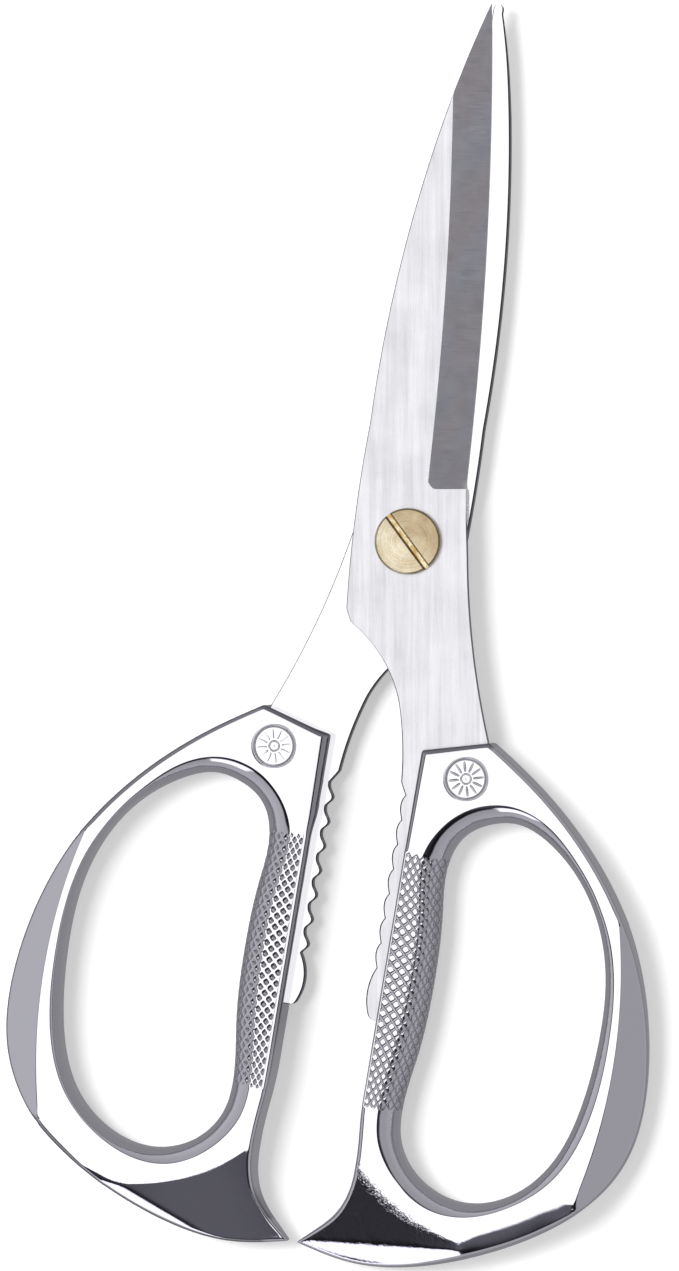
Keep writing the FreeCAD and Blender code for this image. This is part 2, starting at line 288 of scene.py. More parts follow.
def face_outwards(mesh):
    """Turns every closed solid's faces to point outwards."""
    solid = bmesh.new()
    solid.from_mesh(mesh)
    bmesh.ops.recalc_face_normals(solid, faces=solid.faces)
    solid.to_mesh(mesh)
    solid.free()


def place(points, turned=False):
    """From millimetres about the pivot to metres in the row frame."""
    p = np.array(points, float).reshape(-1, 3)
    if turned:
        p = p * (-1, 1, -1)
    return p * MM + np.array(PIVOT)


def add_piece(name, points, faces, body, nodes, materials, turned=False, zones=None,
              marks=None, crease=None, seats=None):
    """A finished piece: smooth shading weighted by face area, riding on its body.

    zones picks each face's material, marks are named values from 0 to 1 at each point, crease is
    the angle in degrees from which edges are sharp, and seats is the side to bore for a rivet.
    """
    mesh = make_mesh(name, place(points, turned), faces)
    face_outwards(mesh)
    if zones is not None:
        mesh.polygons.foreach_set("material_index", np.asarray(zones, np.int32))
    for m in materials:
        mesh.materials.append(m)
    mesh.polygons.foreach_set("use_smooth", np.ones(len(mesh.polygons), bool))
    for mark, values in (marks or {}).items():
        layer = mesh.attributes.new(mark, "FLOAT", "POINT")
        layer.data.foreach_set("value", np.asarray(values, np.float32).ravel())
    if crease is not None:
        mesh.set_sharp_from_angle(angle=math.radians(crease))
    piece = add_object(name, mesh)
    if seats is not None:
        cut_seats(piece, seats)
    weighted = piece.modifiers.new("weighted_normals", "WEIGHTED_NORMAL")
    weighted.weight = 100
    weighted.keep_sharp = True
    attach(piece, body)
    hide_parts(*nodes)


def cut_seats(piece, side):
    """Bores the round seats of the rivet's two ends into a handle's faces."""
    tools = []
    for face in (1, -1):
        ring = on_circle(SEAT_R, once_round(128), 0.0)
        points = np.vstack([ring, ring + (0, 0, SEAT_BORE)]) * (1, face, face)
        points = points + (side * RIVET_AT[0], RIVET_AT[1], face * SEAT_Z)
        walls = [list(f) for f in grid_faces(2, len(ring), close_columns=True)]
        caps = [list(range(len(ring)))[::-1], list(range(len(ring), 2 * len(ring)))]
        tool = add_object("seat", make_mesh("seat", place(points), walls + caps))
        cut = piece.modifiers.new("seat", "BOOLEAN")
        cut.object = tool
        cut.solver = "EXACT"
        tools.append(tool)
    bpy.context.view_layer.update()
    evaluated = piece.evaluated_get(bpy.context.evaluated_depsgraph_get())
    mesh = bpy.data.meshes.new_from_object(evaluated)
    piece.modifiers.clear()
    piece.data = mesh
    for tool in tools:
        bpy.data.objects.remove(tool)


# ---- Node helpers -----------------------------------------------------------------------------
class Nodes:
    """A short way to write a node tree."""

    def __init__(self, tree):
        self.tree = tree
        self.tree.nodes.clear()

    def add(self, kind, inputs=None, **settings):
        node = self.tree.nodes.new(kind)
        for key, value in settings.items():
            setattr(node, key, value)
        for key, value in (inputs or {}).items():
            self.feed(node.inputs[key], value)
        return node

    def feed(self, socket, value):
        if isinstance(value, bpy.types.NodeSocket):
            self.tree.links.new(value, socket)
        else:
            socket.default_value = value

    def math(self, operation, a, b=0.0):
        return self.add("ShaderNodeMath", {0: a, 1: b}, operation=operation).outputs[0]

    def blend(self, *weighted):
        """The sum of values, each given with its weight."""
        first, *others = [self.math("MULTIPLY", value, weight) for value, weight in weighted]
        for other in others:
            first = self.math("ADD", first, other)
        return first

    def remap(self, value, low, high, to_low=0.0, to_high=1.0, smooth=False):
        kind = "SMOOTHSTEP" if smooth else "LINEAR"
        inputs = {"Value": value, "From Min": low, "From Max": high}
        inputs |= {"To Min": to_low, "To Max": to_high}
        return self.add("ShaderNodeMapRange", inputs, interpolation_type=kind).outputs[0]

    def within(self, value, low, high):
        """1 between two soft limits, each given by where it starts and ends; 0 beyond them."""
        above = self.remap(value, *low, smooth=True)
        return self.math("MULTIPLY", above, self.remap(value, *high, 1, 0, True))

    def mix(self, factor, a, b):
        node = self.add("ShaderNodeMix", {0: factor, 6: a, 7: b}, data_type="RGBA")
        return node.outputs[2]

    def noise(self, vector, scale=1.0, detail=3.0, roughness=0.5):
        inputs = {"Vector": vector, "Scale": scale, "Detail": detail, "Roughness": roughness}
        return self.add("ShaderNodeTexNoise", inputs).outputs["Fac"]

    def millimetres(self, stretch=(1, 1, 1), turn=0.0):
        """Object coordinates in millimetres, turned about Z and stretched."""
        source = self.add("ShaderNodeTexCoord").outputs["Object"]
        inputs = {"Vector": source, "Rotation": (0, 0, math.radians(turn))}
        turned = self.add("ShaderNodeMapping", inputs).outputs[0]
        scale = tuple(s / MM for s in stretch)
        return self.add("ShaderNodeMapping", {"Vector": turned, "Scale": scale}).outputs[0]

    def bump(self, height, distance, strength=1.0, normal=None):
        inputs = {"Height": height, "Distance": distance * MM, "Strength": strength}
        if normal is not None:
            inputs["Normal"] = normal
        return self.add("ShaderNodeBump", inputs).outputs[0]


def new_material(name):
    material = bpy.data.materials.new(name)
    material.use_nodes = True
    return material, Nodes(material.node_tree)


def metal(name, sockets):
    """A metal material; sockets(nodes) returns what feeds the shader's sockets."""
    material, nodes = new_material(name)
    shader = nodes.add("ShaderNodeBsdfPrincipled", {"Metallic": 1.0})
    for key, value in sockets(nodes).items():
        nodes.feed(shader.inputs[key], value)
    nodes.add("ShaderNodeOutputMaterial", {"Surface": shader.outputs[0]})
    return material


# ---- Materials --------------------------------------------------------------------------------
# The second colour darkens the grooves and the third the marked edges: both are painted shade.
CHROME_TINT = (0.80, 0.795, 0.83, 1)
CHROME_GROOVE_SHADE = (0.42, 0.415, 0.45, 1)
CHROME_PAINTED_SHADE = (0.24, 0.24, 0.26, 1)
STEEL_LIGHT = (0.76, 0.755, 0.785, 1)
STEEL_DARK = (0.55, 0.545, 0.575, 1)


def chrome(n):
    """Bright plate on a hand-polished casting: faint waves, fine wipe marks and rougher grooves.

    Where the casting is worn its skin is pitted. The grooves, and the plate beside the tang, along
    the shoulder and round the back edge, are darkened with painted shade."""
    groove, worn, painted_shade = (
        n.add("ShaderNodeAttribute", attribute_name=mark).outputs["Fac"]
        for mark in ("groove", "worn", "painted_shade")
    )
    skin = n.noise(n.millimetres(), 1.1, 3.0, 0.65)
    waves = n.noise(n.millimetres(), 0.22, 2.0)
    pits = n.noise(n.millimetres(), 1.6, 5.0, 0.7)
    haze = n.noise(n.millimetres(), 0.5, 6.0, 0.65)
    wipes = n.noise(n.millimetres((4.0, 0.35, 2.0), 25), 1.0, 4.0, 0.6)
    rough = n.remap(haze, 0.35, 0.75, 0.035, 0.085)
    rough = n.math("ADD", rough, n.remap(wipes, 0.55, 0.8, 0.0, 0.05))
    rough = n.math("ADD", rough, n.math("MULTIPLY", groove, 0.22))
    waved = n.bump(pits, 0.004, 0.8, n.bump(waves, 0.02, 0.6))
    pitted = n.bump(skin, 0.22, worn, waved)
    return {
        "Base Color": n.mix(painted_shade, n.mix(groove, CHROME_TINT, CHROME_GROOVE_SHADE), CHROME_PAINTED_SHADE),
        "Roughness": rough,
        "Normal": n.bump(wipes, 0.002, 0.5, pitted),
    }


GRAIN_LEAN = 9.6  # degrees between a blade's axis and its grain; the rear blade's leans the other way


def brushed_face(n, lean):
    """A blade's outer face: a fine brushed grain lengthways, with soft cloudy patches."""
    grain = n.noise(n.millimetres((5.0, 0.10, 1.0), lean), 1.0, 6.0, 0.7)
    streak = n.noise(n.millimetres((1.1, 0.05, 1.0), lean), 1.0, 3.0, 0.5)
    cloud = n.noise(n.millimetres(), 0.12, 3.0, 0.6)
    shade = n.blend((grain, 0.45), (streak, 0.33), (cloud, 0.22))
    return {
        "Base Color": n.mix(n.remap(shade, 0.38, 0.60), STEEL_DARK, STEEL_LIGHT),
        "Roughness": n.remap(grain, 0.3, 0.7, 0.22, 0.34),
        "Normal": n.bump(grain, 0.006, 0.6),
    }


def ground_bevel(n, lean):
    """The hollow-ground bevel: fine cross marks left by the wheel."""
    marks = n.noise(n.millimetres((0.10, 7.0, 1.0), lean), 1.0, 5.0, 0.7)
    band = n.noise(n.millimetres((0.15, 0.35, 1.0), lean), 1.0, 2.0, 0.5)
    tone = n.remap(n.blend((marks, 0.6), (band, 0.4)), 0.35, 0.65)
    heat = n.remap(n.noise(n.millimetres((1, 0.5, 1)), 0.16, 2.0), 0.4, 0.6)
    warm = n.mix(tone, (0.69, 0.65, 0.67, 1), (0.82, 0.785, 0.81, 1))
    cool = n.mix(tone, (0.67, 0.675, 0.73, 1), (0.79, 0.80, 0.85, 1))
    return {
        "Base Color": n.mix(heat, warm, cool),
        "Roughness": n.remap(marks, 0.3, 0.7, 0.28, 0.38),
        "Normal": n.bump(marks, 0.004, 0.6),
    }


def marked_steel(stretch, detail, dark, light, rough, relief):
    """A steel whose colour, roughness and relief all follow one set of fine marks."""
    def sockets(n):
        marks = n.noise(n.millimetres(stretch), 1.0, detail, 0.6)
        return {
            "Base Color": n.mix(marks, (*dark, 1), (*light, 1)),
            "Roughness": n.remap(marks, 0.3, 0.7, *rough),
            "Normal": n.bump(marks, relief, 0.5),
        }

    return sockets


def from_pivot(n):
    """Place in the plane about the pivot axis, in millimetres."""
    centred = n.add("ShaderNodeTexCoord").outputs["Object"]
    shift = tuple(-v for v in PIVOT)
    centred = n.add("ShaderNodeMapping", {"Vector": centred, "Location": shift}).outputs[0]
    inputs = {0: centred, 1: (1 / MM, 1 / MM, 0)}
    return n.add("ShaderNodeVectorMath", inputs, operation="MULTIPLY").outputs[0]


def along(n, vector, degrees):
    """A place's distance along a direction in the plane."""
    direction = (math.cos(math.radians(degrees)), math.sin(math.radians(degrees)), 0)
    inputs = {0: vector, 1: direction}
    return n.add("ShaderNodeVectorMath", inputs, operation="DOT_PRODUCT").outputs["Value"]


def turned_brass(n):
    """Brass turned on a lathe: concentric tool marks round the pivot axis, painted shade on one side.
    """
    flat = from_pivot(n)
    radius = n.add("ShaderNodeVectorMath", {0: flat}, operation="LENGTH").outputs["Value"]
    ring_place = n.add("ShaderNodeCombineXYZ", {"X": radius}).outputs[0]
    rings = n.noise(ring_place, 3.2, 4.0, 0.65)
    tarnish = n.noise(n.millimetres(), 0.35, 4.0, 0.6)
    tone = n.remap(n.blend((rings, 0.6), (tarnish, 0.4)), 0.40, 0.60)
    bright = n.mix(tone, (0.58, 0.48, 0.30, 1), (0.86, 0.80, 0.64, 1))
    shaded_brass = n.mix(tone, (0.34, 0.25, 0.14, 1), (0.58, 0.47, 0.31, 1))
    # The head and the nut are painted darker towards one side: painted shade.
    side = n.remap(along(n, flat, 50.0), -3.5, 3.0, smooth=True)
    return {
        "Base Color": n.mix(side, bright, shaded_brass),
        "Roughness": n.remap(rings, 0.3, 0.7, 0.20, 0.34),
        "Normal": n.bump(rings, 0.05, 1.0),
    }


def slot_brass(n):
    """The slot: the same brass, stained in patches, with painted shade along its two corners."""
    stain = n.noise(n.millimetres(), 0.9, 4.0, 0.6)
    unshaded_slot = n.mix(n.remap(stain, 0.40, 0.60), (0.50, 0.33, 0.12, 1), (0.95, 0.84, 0.58, 1))
    # Darker along the slot's two corners: painted shade.
    across = n.math("ABSOLUTE", along(n, from_pivot(n), SLOT_ANGLE + 90))
    corner = n.remap(across, 0.20, 0.44, smooth=True)
    return {
        "Base Color": n.mix(corner, unshaded_slot, (0.10, 0.06, 0.025, 1)),
        "Roughness": n.remap(stain, 0.3, 0.7, 0.25, 0.4),
    }


CHROME = metal("chrome_plate", chrome)
FRONT_GROUND = [
    metal("front_brushed_face", lambda n: brushed_face(n, -GRAIN_LEAN)),
    metal("front_ground_bevel", lambda n: ground_bevel(n, -GRAIN_LEAN)),
]
REAR_GROUND = [
    metal("rear_brushed_face", lambda n: brushed_face(n, GRAIN_LEAN)),
    metal("rear_ground_bevel", lambda n: ground_bevel(n, GRAIN_LEAN)),
]
# Inner faces and edges are ground smooth, with faint lengthways lines. The plate's blanked sides
# are matt, with fine marks across the thickness, and painted darker as shade.
POLISHED = metal("polished_steel", marked_steel(
    (6.0, 0.15, 3.0), 4.0, (0.80, 0.80, 0.82), (0.88, 0.88, 0.90), (0.09, 0.16), 0.002,
))
SHEARED_PAINTED_SHADE = metal("sheared_edge_painted_shade", marked_steel(
    (5.0, 5.0, 0.4), 4.0, (0.13, 0.13, 0.14), (0.26, 0.26, 0.275), (0.24, 0.38), 0.01,
))
BRASS = metal("turned_brass", turned_brass)
SLOT_BRASS = metal("slot_brass", slot_brass)
WASHER = metal("washer_steel", marked_steel(
    (2.0, 2.0, 2.0), 5.0, (0.42, 0.42, 0.44), (0.62, 0.62, 0.64), (0.22, 0.40), 0.01,
))


# ---- Handles ----------------------------------------------------------------------------------
# The handle is one grid. A column runs from the finger hole to the outline, and round the
# underside back to the hole; the columns go clockwise round the handle.
LIP_ROWS = 38  # hole wall and lip, from mid-height up to the lip's edge
FACE_ROWS = 20
FACET_STEPS = [0.0, 0.04, 0.12, 0.24, 0.37, 0.50, 0.62, 0.73, 0.82, 0.90, 0.96, 1.0]
EDGE_ROWS = 6
EDGE_STEEPEST = math.radians(84)
WALL_STEPS = [0.06, 0.35, 0.68, 1.0]
CORNER_COLUMNS = 5
COLUMN_SPACING = 0.75
LIP_STRIP = 0.30  # width of the shallow strip with which the lip leaves the face
LIP_STRIP_SLOPE = 17.5
LIP_DROP = (3.6, 4.4)  # least and greatest depth of the lip's curve
LIP_START = math.radians(22)  # where the lip's elliptical curve goes on from the strip


def inset_segments(segments, inset):
    """The outline's segments moved inwards and cut or stretched to meet at their corners."""
    moved = []
    for line in segments:
        d = np.gradient(line, axis=0)
        d /= np.linalg.norm(d, axis=1)[:, None]
        moved.append(line + inset * np.stack([d[:, 1], -d[:, 0]], axis=1))
    count = len(moved)
    for k in range(count):
        a, b = moved[k], moved[(k + 1) % count]
        t_a, t_b = a[-1] - a[-2], b[1] - b[0]
        t_a, t_b = t_a / np.linalg.norm(t_a), t_b / np.linalg.norm(t_b)
        cross = t_a[0] * t_b[1] - t_a[1] * t_b[0]
        if abs(cross) < 0.1:
            corner = (a[-1] + b[0]) / 2
        else:
            gap = b[0] - a[-1]
            corner = a[-1] + t_a * (gap[0] * t_b[1] - gap[1] * t_b[0]) / cross
        keep_a = (a - corner) @ t_a < -1e-3
        keep_b = (b - corner) @ t_b > 1e-3
        keep_a[: len(a) // 2] = True
        keep_b[len(b) // 2 :] = True
        moved[k] = np.vstack([a[keep_a], corner])
        moved[(k + 1) % count] = np.vstack([corner, b[keep_b]])
    return moved


def outline_columns(segments, shares, corner_round):
    """Points round the outline: each segment at its shares, then its corner's curve."""
    points = []
    for k, line in enumerate(segments):
        following = segments[(k + 1) % len(segments)]
        total = lengths(line)[-1]
        usable = total - 2 * corner_round
        points.append(at_lengths(line, corner_round + shares[k] * usable))
        before, corner = at_lengths(line, [total - corner_round])[0], line[-1]
        after = at_lengths(following, [corner_round])[0]
        t = np.linspace(0, 1, CORNER_COLUMNS + 2)[1:-1, None]
        points.append(before * (1 - t) ** 2 + 2 * corner * t * (1 - t) + after * t**2)
    return np.vstack(points)


def side_shares():
    """Columns along the grip side: dense and even over the knurl, and coarser above it."""
    low, high = GRIP_LOW[1] + CORNER_ROUND, SHOULDER_IN[1] - CORNER_ROUND
    periods = round((KNURL_TOP - KNURL_LOW) / KNURL_PITCH)
    knurl = np.linspace(KNURL_LOW, KNURL_TOP, periods * KNURL_CELLS + 1)
    above = np.linspace(KNURL_TOP, high, 26)[1:]
    y = np.concatenate([[low], knurl, above])
    return (y - low) / (high - low)


def handle_columns(hole_shift):
    """Outline, widest rounded edge, lip edge and hole point of every column."""
    back = cubic(BACK_OUTLINE)
    horn = cubic(HORN_INSIDE, ends=((1.0, 0.9), (0.0, 1.0)))
    side = np.linspace(GRIP_LOW, SHOULDER_IN, 400)
    shoulder = np.linspace(SHOULDER_IN, SHOULDER_OUT, 100)
    segments = [back, horn, side, shoulder]
    shares = []
    for line in segments:
        count = int(lengths(line)[-1] / COLUMN_SPACING) + 1
        shares.append(np.linspace(0, 1, count))
    shares[2] = side_shares()
    outline = outline_columns(segments, shares, CORNER_ROUND)
    inner = outline_columns(inset_segments(segments, EDGE_WIDEST), shares, CORNER_ROUND / 3)

    # Each station pairs a place on the outline with the place on the hole that faces it.
    hole = cubic(FINGER_HOLE, closed=True)
    hole[:, 0] += hole_shift * smoothstep((hole[:, 0] - 24) / 16)
    stations = [
        (SHOULDER_OUT, (22.0, -43.0)), ((34.0, -41.6), (31.8, -45.4)), ((46.2, -57.2), (41.0, -56.6)),
        ((52.6, -76.5), (44.2, -75.5)), ((51.8, -93.8), (42.0, -90.5)),
        ((40.0, -107.9), (35.6, -101.5)), ((20.0, -116.9), (26.5, -105.2)),
        (HORN_TIP, (19.6, -103.2)), ((7.8, -107.2), (16.6, -100.3)),
        ((8.4, -99.0), (14.3, -95.3)), ((GRIP_LOW[0], KNURL_LOW), (14.1, KNURL_LOW)),
        ((GRIP_LOW[0], KNURL_TOP), (15.1, KNURL_TOP)), (SHOULDER_IN, (18.6, -44.6)),
    ]
    index = [closest(outline, at) for at, _ in stations]
    round_hole = lengths(hole)
    place_on_hole = [round_hole[closest(hole, at)] for _, at in stations]
    total = round_hole[-1]
    for i in range(1, len(place_on_hole)):
        while place_on_hole[i] < place_on_hole[i - 1]:
            place_on_hole[i] += total
    start, place_start = index[0], place_on_hole[0]
    ordered = [(i - start) % len(outline) for i in index] + [len(outline)]
    spots = place_on_hole + [place_start + total]
    along = np.interp((np.arange(len(outline)) - start) % len(outline), ordered, spots)
    hole_points = at_lengths(hole, along % total)
    lip_line = cubic(LIP_EDGE, closed=True)
    lip_points = []
    for h, c in zip(hole_points, inner):
        share = crossing(h, c, lip_line)
        lip_points.append(h + (c - h) * (0.45 if share is None else share))
    return outline, inner, np.array(lip_points), hole_points


def facet_fall(points):
    """How far the crescent and horn facets lie below the face at points in the plane."""
    horn = np.where(points[..., 1] < HORN_BELOW, outside(points, HORN), 0)
    fall = np.maximum(outside(points, CRESCENT), 0) * slope(CRESCENT_SLOPE)
    return fall + np.maximum(horn, 0) * slope(HORN_SLOPE)


def lens_fall(points, finish):
    """How far the small flat along the horn's lower edge drops beyond its crease."""
    start, end = (np.array(p) for p in finish["crease"])
    line = (end - start) / np.linalg.norm(end - start)
    soft = finish["soft"]
    beyond = (points - start) @ np.array((line[1], -line[0]))
    bent = np.clip(beyond + soft, 0, 2 * soft) ** 2 / (4 * soft) + np.maximum(beyond - soft, 0)
    return np.where(points[..., 1] < LENS_BELOW, bent, 0) * slope(LENS_SLOPE)


def crease_share(lip, inner, finish):
    """Share of the way from the lip to the rounded edge at which a facet starts."""
    t = np.linspace(0, 1, 400)
    line = lip + (inner - lip) * t[:, None]
    below = facet_fall(line) + lens_fall(line, finish) > 0
    return float(t[np.argmax(below)]) if below[-1] else 1.0


def lip_section(hole, lip):
    """Evenly spaced points up the hole's wall and over the lip, as (share to the lip, height)."""
    width = np.linalg.norm(lip - hole)
    strip = min(LIP_STRIP, width / 4)
    top = HALF - strip * slope(LIP_STRIP_SLOPE)
    drop = float(np.clip(1.2 * width, *LIP_DROP))
    across = (width - strip) / (1 - math.sin(LIP_START))
    down = drop / math.cos(LIP_START)
    angle = np.linspace(math.pi / 2, LIP_START, 60)
    reach = across - across * np.sin(angle)
    height = top - drop + down * np.cos(angle)
    curve = np.vstack([[0, 0], [0, (top - drop) / 2], np.column_stack([reach, height]), [width, HALF]])
    even = at_lengths(curve, np.linspace(0, lengths(curve)[-1], LIP_ROWS + 1))
    return even[:, 0] / width, even[:, 1]


def rounding_share(outline):
    """How fully the lower edge's soft rounding is worn into each column, from 0 to 1."""
    first, last = (closest(outline, end) for end in ROUNDING_ENDS)
    k = np.arange(len(outline))
    return smoothstep((k - first) / 16) * smoothstep((last - k) / 14)


def edge_widths(outline, grip_edge, low_edge):
    """Width of the rounded edge at each column.

    It is broad by the shoulder, and narrow beside the knurl and along the crescents."""
    x, y = outline[:, 0], outline[:, 1]
    side = np.abs(x - GRIP_LOW[0]) < 0.05
    stops = [GRIP_LOW[1], KNURL_LOW - 0.3, KNURL_LOW, KNURL_TOP, KNURL_TOP + 0.3, SHOULDER_IN[1]]
    along_side = np.interp(y, stops, [0.8, 0.8, grip_edge, grip_edge, 0.7, EDGE_WIDEST])
    corner = smoothstep((SHOULDER_OUT[0] - x) / 11)
    shoulder = EDGE_WIDTH + (EDGE_WIDEST - EDGE_WIDTH) * corner
    back = EDGE_WIDTH * (1 - 0.6 * smoothstep(outside(outline, CRESCENT) / 1.5))
    below = smoothstep((UNDERSIDE - y) / 5) * smoothstep((x - 2.0) / 4)
    back = back + (low_edge - back) * below
    above = (y > SHOULDER_IN[1] - CORNER_ROUND) & (x < SHOULDER_OUT[0])
    return np.where(side, along_side, np.where(above, shoulder, back))


def proud_share(outline):
    """Share of its distance that each column's edge stands out towards the gap.

    It is all of it by the shoulder, and half beside the knurl."""
    x, y = outline[:, 0], outline[:, 1]
    shoulder = smoothstep((SHOULDER_IN[0] + 2.5 - x) / 2.5)
    knurl = 0.5 + 0.5 * smoothstep((y - KNURL_TOP) / 4)
    return shoulder * knurl * smoothstep((y - KNURL_LOW + 4) / 8)


def rounded_edge(edge, outline, before):
    """Points from the face's last point over a rounded edge to the outline.

    before is the point ahead of the last one, so that the curve leaves the face smoothly."""
    start = math.atan2(before[2] - edge[2], np.linalg.norm(edge[:2] - before[:2]))
    angle = np.linspace(start, EDGE_STEEPEST, EDGE_ROWS + 1)[1:]
    across = (np.sin(angle) - math.sin(start)) / (math.sin(EDGE_STEEPEST) - math.sin(start))
    down = (math.cos(start) - np.cos(angle)) / (math.sin(EDGE_STEEPEST) - math.sin(start))
    height = np.linalg.norm(outline - edge[:2]) * down
    height *= min(1, 0.45 * edge[2] / height[-1])
    return np.column_stack([edge[:2] + (outline - edge[:2]) * across[:, None], edge[2] - height])


def worn_skin(grid):
    """How pitted the casting is: most along the horn facet's upper edge, and a little on it."""
    beyond = outside(grid[..., :2], HORN)
    on_horn = smoothstep((-95.0 - grid[..., 1]) / 5) * smoothstep((30.0 - grid[..., 0]) / 12)
    return (np.exp(-((beyond / 0.8) ** 2)) + 0.10 * smoothstep(beyond / 0.5)) * on_horn


def painted_shade_edge(grid, finish):
    """Where shade is painted into the plate's colour: beside the blade's tang, along the shoulder and
    round the back.
    """
    outline = grid[:, -1, :2]
    x, y = outline[:, 0], outline[:, 1]
    beside_tang = 0.55 * (x < GRIP_LOW[0] + 0.4) * smoothstep((y - TANG_END_Y + 12) / 12)
    shoulder = 0.9 * smoothstep((y - SHOULDER_IN[1] + 0.5) / 0.5) * (x < SHOULDER_OUT[0] + 0.5)
    back = np.maximum(smoothstep(x - 19.0), smoothstep((UNDERSIDE - y) / 3) * (x > 4))
    share = np.maximum(np.maximum(beside_tang, shoulder), finish["painted_shade"] * back)
    row = np.arange(grid.shape[1]) - (LIP_ROWS + FACE_ROWS + len(FACET_STEPS) - 1)
    return share[:, None] * smoothstep((row + 0.5) / 3)


def handle_grid(finish):
    """Vertices of the handle's grid, (columns, rows, 3), and how deep each lies in a groove."""
    outline, widest, lips, holes = handle_columns(finish["hole"])
    soft = rounding_share(outline) * finish["rounding"]
    widths = edge_widths(outline, finish["grip_edge"], finish["low_edge"])
    inner = outline + (widest - outline) * (widths / EDGE_WIDEST)[:, None]
    outline = outline - np.outer(finish["proud"] * proud_share(outline), (1, 0))
    columns = []
    for k in range(len(outline)):
        lip, edge = lips[k], inner[k]
        span = np.linalg.norm(edge - lip)
        crease = crease_share(lip, edge, finish)
        crease = min(crease, 1 - max(ROUNDING_WIDTH * soft[k], 0.08) / span)
        share, height = lip_section(holes[k], lip)
        up = np.column_stack([holes[k] + (lip - holes[k]) * share[:, None], height])
        t = np.concatenate([
            np.linspace(0, crease, FACE_ROWS + 1)[1:],
            crease + (1 - crease) * np.array(FACET_STEPS[1:]),
        ])
        flat = lip + (edge - lip) * t[:, None]
        from_edge = (1 - t) * span
        rounding = np.maximum(0, 1 - from_edge / ROUNDING_WIDTH) ** 2
        facets = facet_fall(flat) + lens_fall(flat, finish)
        fall = np.maximum(facets, ROUNDING_DEPTH * soft[k] * rounding)
        face = np.column_stack([flat, HALF - fall])
        turn = rounded_edge(face[-1], outline[k], face[-2])
        wall_z = turn[-1, 2] * (1 - np.array(WALL_STEPS))
        wall = np.column_stack([np.tile(outline[k], (len(wall_z), 1)), wall_z])
        columns.append(np.vstack([up, face, turn, wall]))
    return knurled(np.array(columns), outline, finish["pits"])


def stud_depth(one, two):
    """Depth below a stud's flat top: a groove on both sides of it."""
    return GROOVE_DEPTH * (1 - smoothstep(np.minimum(one, two) / 0.28))


def pit_depth(one, two):
    """Depth below a raised lattice: a small pyramid pit in each of its openings."""
    return PIT_DEPTH * np.clip((np.minimum(one, two) - LATTICE) / (1 - LATTICE), 0, 1)


def knurled(grid, outline, pits):
    """Presses the cross knurl into the grip's columns; returns the grid and the groove marks."""
    first, last = (closest(outline, (GRIP_LOW[0], y)) for y in (KNURL_LOW, KNURL_TOP))
    i = (np.arange(grid.shape[0]) - first)[:, None]
    j = np.arange(grid.shape[1])[None, :]
    one = np.abs(((i + j) / KNURL_CELLS) % 1 - 0.5) * 2
    two = np.abs(((i - j) / KNURL_CELLS) % 1 - 0.5) * 2
    ends = smoothstep((i + 0.5) / 2.0) * smoothstep((last - first - i + 0.5) / 2.0)
    edge = smoothstep((LIP_ROWS + FACE_ROWS + 1.0 - j) / 1.5)
    depth = (pit_depth(one, two) if pits else stud_depth(one, two)) * ends * edge
    along = np.roll(grid, -1, axis=0) - np.roll(grid, 1, axis=0)
    across = np.gradient(grid, axis=1)
    normal = np.cross(along, across)
    normal /= np.maximum(np.linalg.norm(normal, axis=2, keepdims=True), 1e-9)
    # The groove marks make the plate rougher and darken it with painted shade.
    return grid - normal * depth[..., None], depth / depth.max()


def both_sides(values):
    """A handle's upper half, (columns, rows), with its lower half following on."""
    return np.concatenate([values, values[:, -2:0:-1]], axis=1)


def handle_piece(name, body, node, turned, finish):
    """A handle: the grid and its mirror image below, with the rivet's seats bored."""
    grid, groove = handle_grid(finish)
    whole = np.concatenate([grid, grid[:, -2:0:-1] * (1, 1, -1)], axis=1)
    # groove and the third mark darken the plate's colour with painted shade; groove also makes it
    # rougher.
    marks = {
        "groove": both_sides(groove),
        "worn": both_sides(worn_skin(grid)) * finish["worn"],
        "painted_shade": both_sides(painted_shade_edge(grid, finish)),
    }
    columns, rows = whole.shape[:2]
    faces = grid_faces(columns, rows, close_rows=True, close_columns=True)[:, ::-1]
    side = -1 if turned else 1
    add_piece(name, whole.reshape(-1, 3), faces, body, [node], [CHROME], turned,
              marks=marks, seats=side)


# ---- Blades -----------------------------------------------------------------------------------
TIP = (-1.4, 89.0)
EDGE = [(7.6, 10.3), (4.4, 49.5), TIP]
FRONT_SPINE = [
    arc(TIP, (-3.0, 82.6), (-4.4, 76.0)),
    arc((-4.4, 76.0), (-8.4, 50.0), (-9.5, 18.0)),
    arc((-9.5, 18.0), (-9.3, 0.0), (-8.3, -12.6)),
]
REAR_SPINE = [
    arc((-0.2, 89.0), (-2.1, 82.6), (-3.5, 76.7)),
    arc((-3.5, 76.7), (-7.3, 53.0), (-8.9, 20.0)),
    arc((-8.9, 20.0), (-9.0, 0.0), (-8.3, -12.6)),
]
NECK = [
    [(-8.3, -12.6), (-7.2, -14.6)],
    arc((-7.2, -14.6), (-1.9, -18.7), (2.7, -26.0)),
    arc((2.7, -26.0), (4.5, -33.0), (5.3, -39.0)),
]
# Each jaw's valley and crest, where between two valleys the crest comes, and how round they are.
FRONT_JAW = {"valley": 6.35, "crest": 5.80, "peak": 0.42, "power": 1}
REAR_JAW = {"valley": 6.60, "crest": 5.65, "peak": 0.62, "power": 2}
FIRST_VALLEY_Y, SCALLOP_PITCH, SCALLOPS = -41.0, 4.08, 7
TANG_END_Y = -78.2
TANG_BACK_X = 11.4
BEVEL_END_Y = 9.1
BEVEL_CORNER_X = 1.85  # where the bevel's lower end turns up into its long upper line


